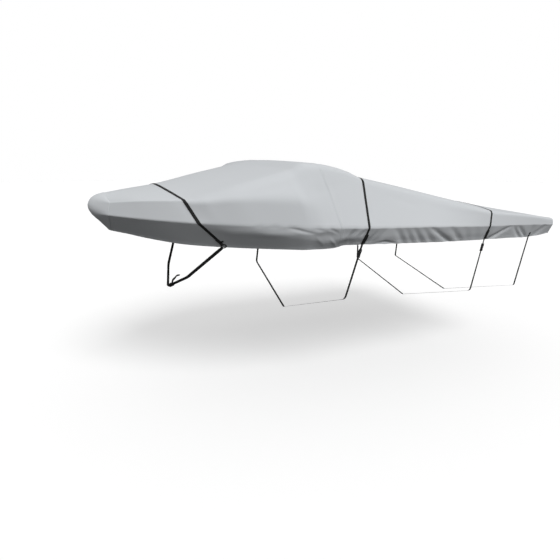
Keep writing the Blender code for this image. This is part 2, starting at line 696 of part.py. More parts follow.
def make_tag(name, seat):
    """The free end of a webbing, lying over the bow strap's tab and pointing aft."""
    middle, half_width, normal = seat
    aft = (half_width.normalized() + Vector((0.0, 0.0, TAG_RISE))).normalized()
    aft = (aft - normal * aft.dot(normal)).normalized()
    across = normal.cross(aft) * TAG_WIDTH / 2
    low = 2 * WEBBING + TAB_GAP + LAY_GAP / 2
    band(name, [(middle, across, normal), (middle + aft * TAG_LENGTH, across, normal)],
         low, low + WEBBING)


def make_stem_run(centre, normal, side, word):
    """The bow strap from its ring down to the chine and in to the stem, with the stem's buckle."""
    corner = hull_point(BOW_CHINE, side)
    bottom = hull_point(BOW_KEEL, side)
    down = frame_of(centre, corner, hull_normal(BOW_SIDE_NORMAL, side))
    under = frame_of(corner, bottom, hull_normal(BOW_STEM_NORMAL, side))
    meeting = mitre(down, under)
    end = gathered_end(centre, normal, down[0], down[1])
    leaving = end[1][0]
    fall = (corner - leaving).normalized()
    band(f"bow_strap_side_{word}", end + [
        (leaving + fall * GATHER_LENGTH, down[1] * BOW_WIDTH / 2, down[2]),
        (corner - fall * JOINT_GAP / 2, meeting[1] * BOW_WIDTH / 2, meeting[2]),
    ])
    first = corner + under[0] * JOINT_GAP / 2
    last = upright(under)
    if side > 0:
        make_run(f"bow_strap_stem_{word}", first, meeting, bottom, last, BOW_WIDTH, JOINT_GAP / 2)
        return
    centre = bottom - under[0] * STEM_BUCKLE_FROM_KEEL
    into = BUCKLE_LENGTH / 2 - BUCKLE_POCKET + POCKET_CLEARANCE
    make_run(f"bow_strap_stem_{word}", first, meeting, centre - under[0] * into, under, BOW_WIDTH, 0.0)
    make_run("bow_strap_stem_end", centre + under[0] * into, under, bottom, last, BOW_WIDTH,
             JOINT_GAP / 2)
    make_buckle("bow_buckle", centre + under[2] * WEBBING / 2, under, BOW_WIDTH)
    make_tail(centre + under[2] * (WEBBING / 2 + BUCKLE_DEPTH / 2 + LAY_GAP), under)


def make_tail(start, frame):
    """The free end past the stem's buckle, lying on it and then standing up on its edge."""
    along, _, out = frame
    path = [start, start - along * TAIL_ON_BUCKLE] + [hull_point(point, -1) for point in TAIL]
    across = along.cross(out) * TAIL_WIDTH / 2
    rings = [(path[0], across, out), (path[1], across, out)]
    last = len(path) - 1
    for k in range(2, len(path)):
        ahead = (path[min(k + 1, last)] - path[k - 1]).normalized()
        turn = (k - 1) / (last - 1)
        face = out * (1 - turn) - ahead.cross(out) * turn
        face = (face - ahead * face.dot(ahead)).normalized()
        rings.append((path[k], face.cross(ahead) * TAIL_WIDTH / 2, face))
    band("bow_strap_tail", rings)


def make_stern_tie(skin):
    """A tab on the hem near each stern corner, and the webbing from it right under the hull."""
    rings = cloth_rings(skin, TIE_ROWS)
    for side in (-1, 1):
        word = "port" if side < 0 else "starboard"
        start = rings[0 if side < 0 else -1][0]
        frame = make_hull_loop("stern_tie", start, side, TIE_WIDTH, TIE_CHINE, TIE_KEEL,
                               TIE_SIDE_NORMAL, TIE_KEEL_NORMAL, TIE_PAST_HEM + JOINT_GAP)
        end = (start + frame[0] * TIE_PAST_HEM, frame[1] * TIE_WIDTH / 2, frame[2])
        path = between(rings, TIE_TAB_LENGTH, 0.0, side)
        band(f"stern_tab_{word}", cloth_order(path + [end], side))


def main():
    for old in list(bpy.data.objects):
        bpy.data.objects.remove(old, do_unlink=True)
    skin = Skin()
    for panel in ("panel_nose", "panel_fore", "panel_aft"):
        make_panel(skin, panel)
    make_bow_strap(skin)
    for girth in GIRTHS:
        make_girth(skin, *girth)
    make_stern_tie(skin)


main()
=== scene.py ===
"""Fitted trailering cover for a small open boat: the finished look of its cloth, webbing and buckles.

The cover is drawn as one fine skin over four lines, the ridge, shoulder, gunwale and hem, and is then
cut at its seams into three panels. Straps follow rows of that skin, so they lie on the cloth wherever
it goes. Stations run aft from the stem head, heights run up from the ground, port is -Y.
"""
from functools import lru_cache
from math import cos, pi, radians, sin, sqrt

import bpy
import numpy as np
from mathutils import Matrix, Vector


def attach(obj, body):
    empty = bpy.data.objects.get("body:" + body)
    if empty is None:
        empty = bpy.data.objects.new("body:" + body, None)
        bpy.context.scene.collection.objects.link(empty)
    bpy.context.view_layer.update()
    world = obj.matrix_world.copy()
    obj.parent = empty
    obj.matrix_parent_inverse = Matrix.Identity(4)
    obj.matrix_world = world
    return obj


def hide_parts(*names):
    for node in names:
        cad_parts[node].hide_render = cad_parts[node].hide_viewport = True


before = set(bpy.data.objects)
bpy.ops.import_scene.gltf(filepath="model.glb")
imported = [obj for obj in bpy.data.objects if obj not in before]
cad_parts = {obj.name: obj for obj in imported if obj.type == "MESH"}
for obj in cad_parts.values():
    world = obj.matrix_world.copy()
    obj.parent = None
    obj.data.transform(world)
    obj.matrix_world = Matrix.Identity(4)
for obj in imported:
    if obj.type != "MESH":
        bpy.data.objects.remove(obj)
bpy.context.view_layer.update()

bl_info = {
    "name": "Boat cover",
    "version": (1, 0, 0),
    "blender": (4, 5, 0),
    "location": "3D View > Sidebar > Cover",
    "description": "Builds a fitted cloth boat cover with its straps, buckles and stitching",
    "category": "Add Mesh",
}

# ---------------------------------------------------------------------------------------------
# Sizes, in metres

MOUNT_STATION = 1.225     # the windscreen's top edge, aft of the stem head
MOUNT_HEIGHT = 1.946      # underside of the cloth there, above the ground
CLOTH = 0.002
SEAM_GAP = 0.0001
LAY_GAP = 0.0006          # webbing lies this far off the cloth
TAB_GAP = 0.0008          # and a tab this far off the strap that it holds
WEBBING = 0.0015

# How finely the skin is divided, from the ridge to the hem and from row to row
TOP_STEPS = 46
ROUND_STEPS = 9
SIDE_STEPS = 15
SKIRT_SHARES = tuple(k / 28 for k in range(1, 23)) + (0.80, 0.825, 0.85, 0.90, 0.94, 0.965, 0.985, 1.0)
SKIRT_STEPS = len(SKIRT_SHARES)
HALF_STEPS = TOP_STEPS + ROUND_STEPS + SIDE_STEPS + SKIRT_STEPS
LEVELS = HALF_STEPS - TOP_STEPS
ROW_STEPS = 5
SEAM_SHARES = (0.03, 0.07, 0.10, 0.13)   # rows this near to the cross seam, as shares of the stretch
SEAM_CLEAR = 0.02         # and no other row nearer than this to the last of them
SEAM_SHARES_AFT = 0.3     # the stretch behind the seam is longer, so they are this much of themselves
SIDES = ((-1, "port"), (1, "starboard"))

# The four lines that the cloth is drawn over
RIDGE = (  # station, height
    (-0.02, 1.699), (0.15, 1.726), (0.36, 1.757), (0.76, 1.845), (1.19, 1.937), (1.225, 1.948),
    (1.33, 1.945), (1.83, 1.853), (3.10, 1.580), (4.05, 1.414),
)
SHOULDER = (  # station, half breadth, height, radius of the bend
    (-0.005, 0.180, 1.636, 0.020), (0.196, 0.412, 1.657, 0.018), (0.447, 0.605, 1.667, 0.020),
    (0.580, 0.650, 1.704, 0.050), (0.780, 0.735, 1.760, 0.080), (1.050, 0.780, 1.832, 0.085),
    (1.200, 0.790, 1.872, 0.080), (1.320, 0.798, 1.922, 0.070), (1.455, 0.810, 1.915, 0.065),
    (1.600, 0.830, 1.887, 0.055), (1.700, 0.845, 1.854, 0.050), (1.805, 0.858, 1.806, 0.045),
    (1.92, 0.866, 1.782, 0.055), (2.40, 0.890, 1.685, 0.060), (2.79, 0.960, 1.589, 0.050),
    (3.12, 1.000, 1.512, 0.040), (3.48, 0.995, 1.466, 0.030), (3.78, 0.984, 1.431, 0.028),
    (4.05, 0.964, 1.392, 0.028),
)
GUNWALE = (  # station, half breadth, height
    (-0.02, 0.195, 1.541), (0.10, 0.345, 1.532), (0.32, 0.552, 1.517), (0.55, 0.710, 1.502),
    (0.94, 0.880, 1.481), (1.40, 0.990, 1.456), (1.75, 1.036, 1.436), (2.48, 1.044, 1.406),
    (3.00, 1.030, 1.377), (3.72, 0.994, 1.348), (4.05, 0.970, 1.330),
)
RAIL = (  # gunwale station, share of the way down from shoulder to gunwale, how far it bulges there
    (0.50, 0.10, 0.000), (0.57, 0.13, 0.030), (0.65, 0.18, 0.054), (0.75, 0.235, 0.053),
    (0.90, 0.315, 0.048), (1.08, 0.405, 0.055), (1.25, 0.475, 0.060), (1.34, 0.560, 0.036),
    (1.44, 0.610, 0.010), (1.56, 0.640, 0.000),
)
BEND_REACH = 0.6          # the most of the way to the rail that the shoulder's bend takes
KNEE = (  # gunwale station, where the skirt turns under: shares of the way in and down to the hem
    (0.40, 0.50, 0.50), (0.56, 0.10, 0.20), (0.68, 0.13, 0.30), (0.87, 0.19, 0.36),
    (1.06, 0.20, 0.41), (1.27, 0.26, 0.48), (1.46, 0.48, 0.66), (1.62, 0.43, 0.53),
    (3.00, 0.46, 0.52), (3.60, 0.50, 0.50),
)
EASE = 0.12               # how much of a bent stretch its corner takes, each way
KNUCKLE_WEIGHT = 5        # how many times its neighbours' weight a point at the gunwale has
HEADING_STEP = 0.02       # reach, fore and aft, over which the gunwale's heading is taken
HEM = (  # station, half breadth, height
    (0.012, 0.030, 1.406), (0.118, 0.149, 1.388), (0.235, 0.276, 1.364), (0.47, 0.482, 1.328),
    (0.72, 0.632, 1.310), (1.156, 0.815, 1.286), (1.30, 0.870, 1.280), (1.38, 0.887, 1.280),
    (1.50, 0.909, 1.281), (1.61, 0.933, 1.302), (1.95, 0.974, 1.291), (2.60, 0.977, 1.263),
    (3.12, 0.967, 1.245), (3.45, 0.954, 1.236), (3.74, 0.941, 1.222), (3.90, 0.930, 1.226),
    (4.06, 0.920, 1.238),
)
# The rows given: the station where each crosses the four lines, how square its top is, and
# the steps to the next row. A strap's two edges are two rows.
ROWS = (  # name, ridge, shoulder, gunwale, hem, crown, steps
    ("nose seam", -0.020, -0.005, -0.020, 0.012, 1.8, 3),
    ("fore deck", 0.150, 0.220, 0.230, 0.300, 1.7, 3),
    ("bow strap fore", 0.361, 0.430, 0.507, 0.721, 1.6, 1),
    ("bow strap aft", 0.383, 0.452, 0.533, 0.747, 1.6, 5),
    ("foot of windscreen", 0.900, 0.970, 1.080, 1.160, 1.5, 8),
    ("top of windscreen", 1.225, 1.322, 1.430, 1.450, 1.35, 3),
    ("cross seam", 1.310, 1.436, 1.530, 1.560, 1.9, 7),
    ("mid strap fore", 1.792, 1.796, 1.750, 1.751, 2.6, 1),
    ("mid strap aft", 1.812, 1.816, 1.770, 1.771, 2.6, 18),
    ("aft strap fore", 3.115, 3.130, 3.094, 3.113, 3.6, 1),
    ("aft strap aft", 3.135, 3.150, 3.114, 3.133, 3.6, 9),
    ("stern tie fore", 3.759, 3.759, 3.759, 3.759, 3.2, 1),
    ("stern tie aft", 3.781, 3.781, 3.781, 3.781, 3.2, 4),
    ("transom", 4.050, 4.050, 4.050, 4.060, 3.2, 0),
)
STRAP_ROWS = ("bow strap fore", "mid strap fore", "aft strap fore", "stern tie fore")

# Troughs of the skirt: where each starts at the gunwale and ends at the hem
FOLDS = (  # gunwale station, hem station, depth, half width, drawn in by a strap
    (1.160, 1.220, 0.006, 0.055, False), (1.330, 1.360, 0.008, 0.050, False),
    (1.455, 1.500, 0.009, 0.045, False), (1.630, 1.610, 0.009, 0.045, False),
    (1.760, 1.761, 0.012, 0.050, True), (1.850, 1.795, 0.010, 0.034, False),
    (1.915, 1.860, 0.013, 0.036, False), (2.030, 2.160, 0.015, 0.036, False),
    (2.120, 2.250, 0.012, 0.034, False), (2.205, 2.350, 0.014, 0.034, False),
    (2.305, 2.470, 0.011, 0.038, False), (2.390, 2.670, 0.018, 0.042, False),
    (2.620, 2.800, 0.012, 0.042, False), (2.790, 2.890, 0.007, 0.050, False),
    (2.930, 2.990, 0.007, 0.050, False), (3.104, 3.123, 0.010, 0.050, True),
    (3.400, 3.170, 0.018, 0.042, False), (3.455, 3.620, 0.013, 0.038, False),
    (3.520, 3.710, 0.014, 0.034, False), (3.770, 3.770, 0.010, 0.045, True),
    (3.960, 3.830, 0.012, 0.045, False),
)
STARBOARD_FOLD_SHIFT = 0.025
FOLD_AT_GUNWALE = 0.12    # how much of its depth a fold has at the gunwale
FOLD_BELLY = 1.3          # and gains on the way down
FOLD_AT_HEM = 0.60

# Creases pressed into the whole cover. Levels: 0 ridge, 1 shoulder, 2 gunwale, 3 hem
CREASES = (  # side (0 both), stations and levels along it, depth (a ridge is negative), half width
    # on the side, below the shoulder
    (0, ((1.95, 1.18), (2.12, 1.31), (2.33, 1.44)), 0.0020, 0.030),
    (0, ((1.88, 1.12), (2.09, 1.24), (2.29, 1.32)), -0.0020, 0.025),
    (0, ((2.02, 1.09), (2.36, 1.20), (2.72, 1.31), (3.08, 1.21)), -0.0020, 0.022),
    (0, ((0.97, 1.29), (1.08, 1.26), (1.21, 1.26)), 0.0025, 0.030),
    (0, ((1.25, 1.50), (1.43, 1.43), (1.62, 1.24)), 0.0025, 0.030),
    # pulled along under the gunwale, below the windscreen
    (-1, ((0.89, 2.02), (0.94, 2.03)), 0.004, 0.008),
    (-1, ((0.97, 2.02), (1.06, 2.04)), 0.004, 0.008),
    (-1, ((1.11, 2.04), (1.17, 2.10), (1.22, 2.15), (1.26, 2.19), (1.32, 2.24)), 0.0065, 0.009),
    (-1, ((1.32, 2.06), (1.36, 2.10), (1.39, 2.14)), 0.0035, 0.009),
    (-1, ((1.42, 2.05), (1.47, 2.14), (1.51, 2.24)), 0.0045, 0.009),
    # broad swells along the skirt
    (-1, ((0.76, 2.24), (1.00, 2.27), (1.28, 2.29)), -0.0055, 0.024),
    (-1, ((1.20, 2.14), (1.35, 2.16), (1.52, 2.20)), -0.0070, 0.028),
    (-1, ((1.46, 2.55), (1.60, 2.55), (1.76, 2.58)), -0.0045, 0.035),
    # pulled down the skirt towards the mid strap
    (-1, ((1.34, 2.38), (1.40, 2.67), (1.43, 2.85)), -0.0030, 0.009),
    (-1, ((1.45, 2.46), (1.51, 2.76), (1.54, 2.96)), -0.0045, 0.009),
    (-1, ((1.61, 2.03), (1.59, 2.42), (1.595, 2.70)), -0.0035, 0.009),
    (-1, ((1.65, 2.06), (1.62, 2.45), (1.63, 2.88)), 0.0030, 0.010),
    (-1, ((1.70, 2.03), (1.66, 2.42), (1.66, 2.90)), -0.0035, 0.009),
    (-1, ((1.74, 2.06), (1.70, 2.45), (1.70, 2.88)), 0.0030, 0.010),
    (-1, ((1.84, 2.06), (1.80, 2.45), (1.785, 2.75)), -0.0030, 0.009),
    (-1, ((1.84, 2.15), (1.82, 2.53), (1.80, 2.94)), 0.0050, 0.012),
    # a scallop at the hem, and one fold near the stern
    (-1, ((1.87, 2.96), (1.96, 2.85), (2.06, 2.97)), 0.0120, 0.012),
    (-1, ((3.49, 2.15), (3.59, 2.60), (3.67, 2.95)), -0.0040, 0.016),
)
CREASE_END = 0.08         # its depth follows a half sine, with this share cut off at each end

# End caps. A level's share of the way up is shared out between skirt, side and the bend above them
CAP_SKIRT = 0.4
CAP_SIDE = 0.3

# Centre line of the nose
NOSE_PROFILE = (  # share, station, height
    (0.0, 0.000, 1.410), (0.20, -0.062, 1.480), (0.38, -0.116, 1.538), (0.40, -0.122, 1.548),
    (0.45, -0.134, 1.570), (0.50, -0.139, 1.588), (0.60, -0.140, 1.606), (0.70, -0.137, 1.621),
    (0.75, -0.128, 1.641), (0.80, -0.115, 1.659), (0.85, -0.097, 1.673), (0.90, -0.072, 1.686),
    (1.0, -0.020, 1.699),
)
NOSE_ROUNDING = 0.25      # how blunt the nose is in plan, none being a straight sided point
TRANSOM_BULGE = 0.034
TRANSOM_SQUARENESS = 8.0
TRANSOM_FULLNESS = 1.6    # how soon below its top edge the transom's bulge is full

# Hem and seams
HEM_WIDTH = 0.028
HEM_LIFT = 0.0006
HEM_BEAD = 0.0014
HEM_BEAD_MIDDLE = 0.005   # above the edge
HEM_BEAD_REACH = 0.006    # each way from its middle
SEAM_WIDTH = 0.010
SEAM_LIFT = 0.0012
STEP_WIDTH = 0.004        # the slope up to a raised band
STITCH_PITCH = 0.006
STITCH_LENGTH = 0.0044
STITCH_WIDTH = 0.0011
STITCH_HEIGHT = 0.0005
STITCH_SUNK = 0.0002      # its lower face lies this far in the cloth
STITCH_START = 0.1        # the first one's start, in pitches
STITCH_TUCK = 0.15        # how far its ends are drawn in at the top, in its lengths
STITCH_CROWN = 0.6        # its width at the top, in its widths
HEM_STITCHES = (0.0245,)  # lines of stitching, in metres from the edge
SEAM_STITCHES = (0.0030, 0.0090)
TAB_STITCHES = 0.0025

# Girth straps: their two rows on the cloth, and where the webbing lies on the hull below the hem
GIRTHS = (  # name, rows, width, chine, keel, hull normal at the side, hull normal at the bottom
    ("mid", ("mid strap fore", "mid strap aft"), 0.020, (1.665, 0.874, 0.845), (1.560, 0.0, 0.560),
     (0.0, -1.0, -0.2), (0.0, -0.3, -1.0)),
    ("aft", ("aft strap fore", "aft strap aft"), 0.020, (3.075, 0.895, 0.752), (3.060, 0.0, 0.500),
     (0.0, -1.0, -0.2), (0.0, -0.3, -1.0)),
)
BOW_ROWS = ("bow strap fore", "bow strap aft")
BOW_WIDTH = 0.026
BOW_CHINE = (0.528, 0.300, 1.029)
BOW_KEEL = (0.440, 0.0, 0.897)
BOW_SIDE_NORMAL = (-0.55, -0.65, -0.52)
BOW_STEM_NORMAL = (-0.60, -0.45, -0.66)
TIE_ROWS = ("stern tie fore", "stern tie aft")
TIE_WIDTH = 0.022
TIE_CHINE = (3.690, 0.895, 0.735)
TIE_KEEL = (3.680, 0.0, 0.490)
TIE_SIDE_NORMAL = (0.0, -1.0, -0.15)
TIE_KEEL_NORMAL = (0.0, -0.3, -1.0)
TIE_TAB_LENGTH = 0.050    # of webbing on the skirt above the hem
TIE_BEND = 0.012
CORNER_RADIUS = 0.030     # of the webbing's bends at hem, chine and keel
CORNER_ROOM = 0.45        # the most of a run that the bend at one end of it takes
CORNER_STEPS = 6
STRAIGHT_STEP = 0.020     # from ring to ring of a straight run
HEM_RINGS = 3             # rings of a girth strap that its bend over the hem replaces
WEBBING_PROFILE = (  # across in half widths, up in thicknesses, anticlockwise seen along the webbing
    (-0.94, 0.0), (-1.0, 0.3), (-1.0, 0.7), (-0.94, 1.0), (-0.5, 1.04), (0.0, 1.05), (0.5, 1.04),
    (0.94, 1.0), (1.0, 0.7), (1.0, 0.3), (0.94, 0.0), (0.0, 0.0),
)

# Places up the skirt, in metres above the hem
GIRTH_TAB = (0.105, 0.012)
BOW_TAB = (0.096, 0.060)
TAB_WIDTH = 0.034
RING_SPACING = 0.003      # the least between two rings of a band
RING_ABOVE_HEM = 0.020
TAG_ABOVE_HEM = 0.070
TAG_RISE = 0.6            # how much it points up for each length aft

RING_RADIUS = 0.019
RING_WIRE = 0.0035
GATHER_WIDTH = 0.022
GATHER_INSIDE = 0.012
GATHER_OUTSIDE = 0.0255
GATHER_LENGTH = 0.014
TAG_WIDTH = 0.014
TAG_LENGTH = 0.034
TAIL_WIDTH = 0.016
TAIL_ON_BUCKLE = 0.026
TAIL_BEND = 0.020
TAIL = (  # station, half breadth, height
    (0.443, 0.170, 0.990), (0.459, 0.195, 1.013), (0.466, 0.215, 1.033), (0.482, 0.245, 1.040),
)

# Side-release buckle
BUCKLE_LENGTH = 0.070
BUCKLE_DEPTH = 0.009
BUCKLE_CHEEK = 0.005
BUCKLE_BODY = (  # one edge as shares of half width and half length, and bottom and top of half depth
    (((0.95, -0.62), (1.00, -0.52), (1.00, -0.36), (0.80, -0.31), (0.80, -0.05), (1.00, 0.00),
      (0.90, 0.15)), -1.0, 1.0),                                            # socket
    (((0.93, -0.29), (0.99, -0.17), (0.93, -0.07)), -0.60, 0.60),           # tips of the prongs
    (((0.80, 0.12), (0.80, 0.34), (1.00, 0.46), (1.00, 0.62)), -0.85, 0.85),  # plug
    (((0.46, -0.48), (0.56, -0.34), (0.56, -0.06), (0.40, 0.04)), 0.80, 1.08),  # raised plate
)
BUCKLE_BAR_WIDTH = 0.9    # share of the buckle's width
BUCKLE_BARS = (  # shares of half length to its near and far edge, and of half depth
    (0.62, 0.75, 0.30, 0.90), (0.87, 1.00, -0.90, -0.30),
)
BUCKLE_RAIL = (0.55, 1.00, -0.80, 0.80)
BUCKLE_EDGE = 0.0009      # radius of its edges
BUCKLE_CLEARANCE = 0.0005
BUCKLE_BELOW_HEM = 0.074
STEM_BUCKLE_FROM_KEEL = 0.050

SHARP_ANGLE = radians(62)  # edges turning more than this are left sharp
TINY = 1e-12              # the least that a length is taken to be

# How fine the finishes are
WAVE_PITCH = 0.3142       # a wave texture's bands are this far apart at a scale of one
RIB_PITCH = 0.0016        # from one rib of the webbing to the next

# Stage, in the model's own frame
CAMERA_PLACE = (-1.735, -3.98, -0.026)
CAMERA_TURN = (76.3, 0.0, -27.0)
CAMERA_LENS = 30.79
CAMERA_SENSOR = 36.0
CAMERA_FAR = 200.0
GROUND = -MOUNT_HEIGHT
FLOOR_REACH = 60.0
FLOOR_COLOUR = (0.62, 0.62, 0.62)
FLOOR_GLOW = 0.42
BACKDROP_RADIUS = 54.0
KEY_WAY = (0.0, 0.70, -0.714)
KEY_ANGLE = radians(28)   # how wide the key light is in the sky
SKY_FADE = (-0.25, 0.05)  # a direction's rise where the light from below ends and the sky is full


# ---------------------------------------------------------------------------------------------
# The skin

def smooth(table, column, station):
    """One column of a table at a station, on a monotone cubic through its rows."""
    xs = [row[0] for row in table]
    ys = [row[column] for row in table]
    if station <= xs[0]:
        return ys[0]
    if station >= xs[-1]:
        return ys[-1]
    steps = len(xs) - 1
    slopes = [(ys[k + 1] - ys[k]) / (xs[k + 1] - xs[k]) for k in range(steps)]
    tangents = [slopes[0]]
    for before, after in zip(slopes, slopes[1:]):
        tangents.append(2 * before * after / (before + after) if before * after > 0 else 0.0)
    tangents.append(slopes[-1])
    k = max(k for k in range(steps) if xs[k] <= station)
    width = xs[k + 1] - xs[k]
    t = (station - xs[k]) / width
    return (
        (2 * t ** 3 - 3 * t ** 2 + 1) * ys[k]
        + (t ** 3 - 2 * t ** 2 + t) * width * tangents[k]
        + (3 * t ** 2 - 2 * t ** 3) * ys[k + 1]
        + (t ** 3 - t ** 2) * width * tangents[k + 1]
    )


def place(station, across, height):
    """A point of the boat's own frame as a point of the model."""
    return np.array((station - MOUNT_STATION, across, height - MOUNT_HEIGHT))


def unit(vectors):
    """Vectors at a length of one."""
    return vectors / np.maximum(np.linalg.norm(vectors, axis=-1, keepdims=True), TINY)


def fold_depth(station, share, side):
    """How far the troughs of the skirt draw it in, share being the way from gunwale to hem."""
    shift = 0.0 if side < 0 else STARBOARD_FOLD_SHIFT
    reach = FOLD_AT_GUNWALE + FOLD_BELLY * share * (1 - share) + FOLD_AT_HEM * share
    depth = 0.0
    for at_gunwale, at_hem, deep, half_width, under_strap in FOLDS:
        middle = at_gunwale + (at_hem - at_gunwale) * share + (0.0 if under_strap else shift)
        depth = depth + deep * np.exp(-((station - middle) / half_width) ** 2)
    return depth * reach


def bent(a, b, c, t, ease=EASE):
    """A path from a to c by way of b, t running from 0 to 1 along it, its corner eased."""
    before, after = np.linalg.norm(b - a), np.linalg.norm(c - b)
    corner = before / (before + after)
    ease = min(ease, corner, 1 - corner)

    def straight(u):
        u = np.asarray(u, float)
        first = a + (b - a) * (u / corner)
        second = b + (c - b) * ((u - corner) / (1 - corner))
        return np.where(u < corner, first, second)

    if ease < TINY:
        return straight(t)
    start, end = straight(corner - ease), straight(corner + ease)
    u = np.clip((t - corner + ease) / (2 * ease), 0.0, 1.0)
    curve = start * (1 - u) ** 2 + b * (2 * u * (1 - u)) + end * u ** 2
    return np.where(np.abs(t - corner) < ease, curve, straight(t))


def half_section(spec, side):
    """The outer face of one row of cloth, from the ridge out to the hem on one side."""
    _, at_ridge, at_shoulder, at_gunwale, at_hem, crown = spec
    ridge = place(at_ridge, 0.0, smooth(RIDGE, 1, at_ridge))
    shoulder = place(
        at_shoulder, side * smooth(SHOULDER, 1, at_shoulder), smooth(SHOULDER, 2, at_shoulder))
    gunwale = place(
        at_gunwale, side * smooth(GUNWALE, 1, at_gunwale), smooth(GUNWALE, 2, at_gunwale))
    hem = place(at_hem, side * smooth(HEM, 1, at_hem), smooth(HEM, 2, at_hem))
    rail = shoulder + (gunwale - shoulder) * smooth(RAIL, 1, at_gunwale)
    rail = rail + (0.0, side * smooth(RAIL, 2, at_gunwale), 0.0)
    radius = smooth(SHOULDER, 3, at_shoulder)
    start = shoulder + unit(ridge - shoulder) * radius
    end = shoulder + (rail - shoulder) * min(BEND_REACH, radius / np.linalg.norm(rail - shoulder))

    across = np.sin(pi / 2 * np.arange(TOP_STEPS + 1) / TOP_STEPS)
    top = np.stack((
        ridge[0] + (start[0] - ridge[0]) * across ** 2,
        start[1] * across,
        start[2] + (ridge[2] - start[2]) * (1 - across ** crown),
    ), axis=1)
    t = (np.arange(1, ROUND_STEPS + 1) / ROUND_STEPS)[:, None]
    bend = start * (1 - t) ** 2 + shoulder * (2 * t * (1 - t)) + end * t ** 2
    t = (np.arange(1, SIDE_STEPS + 1) / SIDE_STEPS)[:, None]
    wall = bent(end, rail, gunwale, t)
    share_in, share_down = (smooth(KNEE, column, at_gunwale) for column in (1, 2))
    knee = gunwale + (hem - gunwale) * (share_down, share_in, share_down)
    before, after = (smooth(GUNWALE, 1, at_gunwale + way * HEADING_STEP) for way in (-1, 1))
    inward = unit(np.array(((after - before) / (2 * HEADING_STEP), -side, 0.0)))
    t = np.array(SKIRT_SHARES)[:, None]
    skirt = bent(gunwale, knee, hem, t)
    skirt = skirt + inward * fold_depth(at_gunwale + (at_hem - at_gunwale) * t, t, side)
    section = np.concatenate((top, bend, wall, skirt))
    knuckle = TOP_STEPS + ROUND_STEPS + SIDE_STEPS
    above, at, below = (section[knuckle - 1 + shift:knuckle + 2 + shift] for shift in (-1, 0, 1))
    at[:] = (above + KNUCKLE_WEIGHT * at + below) / (KNUCKLE_WEIGHT + 2)
    return section


def row_shares(row, following):
    """Where the rows between two named ones lie, closer together beside the cross seam."""
    if row[0] in STRAP_ROWS:
        return [0.0, 0.5]
    count = row[6] * ROW_STEPS
    shares = [k / count for k in range(count)]
    near = SEAM_SHARES[-1] + SEAM_CLEAR
    if row[0] == "cross seam":
        beside = [SEAM_SHARES_AFT * share for share in SEAM_SHARES]
        shares = [0.0] + beside + [share for share in shares if share > SEAM_SHARES_AFT * near]
    if following[0] == "cross seam":
        beside = [1 - share for share in SEAM_SHARES[::-1]]
        shares = [share for share in shares if share < 1 - near] + beside
    return shares


def full_rows():
    """Every row of the cloth between the nose seam and the transom, port hem to starboard hem."""
    specs = []
    for row, following in zip(ROWS, ROWS[1:]):
        for share in row_shares(row, following):
            blend = [a + (b - a) * share for a, b in zip(row[1:6], following[1:6])]
            specs.append(("" if share else row[0], *blend))
    specs.append(ROWS[-1][:6])
    names = [spec[0] for spec in specs]
    rows = [
        np.concatenate((half_section(spec, -1)[:0:-1], half_section(spec, 1))) for spec in specs]
    return names, np.array(rows)


def cap_share(level):
    """How far up an end cap a level lies, from none at the hem to one at the top row."""
    if level <= SKIRT_STEPS:
        return CAP_SKIRT * (1.0 - (0.0, *SKIRT_SHARES)[SKIRT_STEPS - level])
    level -= SKIRT_STEPS
    if level <= SIDE_STEPS:
        return CAP_SKIRT + CAP_SIDE * level / SIDE_STEPS
    level -= SIDE_STEPS
    return CAP_SKIRT + CAP_SIDE + (1 - CAP_SKIRT - CAP_SIDE) * level / ROUND_STEPS


def cap_points(section, is_nose):
    """The cloth beyond an end row, as levels up from the hem by columns from port."""
    columns = 2 * TOP_STEPS
    across = np.sin(pi / 2 * (np.arange(columns + 1) - TOP_STEPS) / TOP_STEPS)
    grid = np.zeros((LEVELS + 1, columns + 1, 3))
    for level in range(LEVELS + 1):
        share = cap_share(level)
        port, starboard = section[level], section[-1 - level]
        side = np.where(across[:, None] < 0, port, starboard)
        width = np.abs(side[:, 1]) * across
        if is_nose:
            centre = place(smooth(NOSE_PROFILE, 1, share), 0.0, smooth(NOSE_PROFILE, 2, share))
            far, near = sqrt(1 + NOSE_ROUNDING ** 2), NOSE_ROUNDING
            out = (far - np.sqrt(across ** 2 + near ** 2)) / (far - near)
            grid[level] = np.stack((
                side[:, 0] + (centre[0] - side[:, 0]) * out, width,
                side[:, 2] + (centre[2] - side[:, 2]) * (1 - across ** 2)), axis=1)
        else:
            out = (1 - np.abs(across) ** TRANSOM_SQUARENESS) ** (1 / TRANSOM_SQUARENESS)
            bulge = TRANSOM_BULGE * min(1.0, sqrt(max(0.0, 1 - share)) * TRANSOM_FULLNESS)
            crown = section[HALF_STEPS][2] - section[LEVELS][2]
            grid[level] = np.stack((
                side[:, 0] + bulge * out, width,
                side[:, 2] + crown * share ** 3 * (1 - across ** 2)), axis=1)
    return grid


def lengths_along(grid, axis):
    """Running length along one way of a grid of points."""
    steps = np.linalg.norm(np.diff(grid, axis=axis), axis=-1)
    shape = list(grid.shape[:2])
    shape[axis] = 1
    return np.concatenate((np.zeros(shape), np.cumsum(steps, axis=axis)), axis=axis)


def running_length(points):
    """How far along a line each of its points lies."""
    return np.concatenate(([0.0], np.cumsum(np.linalg.norm(np.diff(points, axis=0), axis=1))))


def grid_normals(grid):
    """Outward normals of the rows' grid."""
    aft = np.gradient(grid, axis=0)
    across = np.gradient(grid, axis=1)
    return unit(np.cross(aft, across))


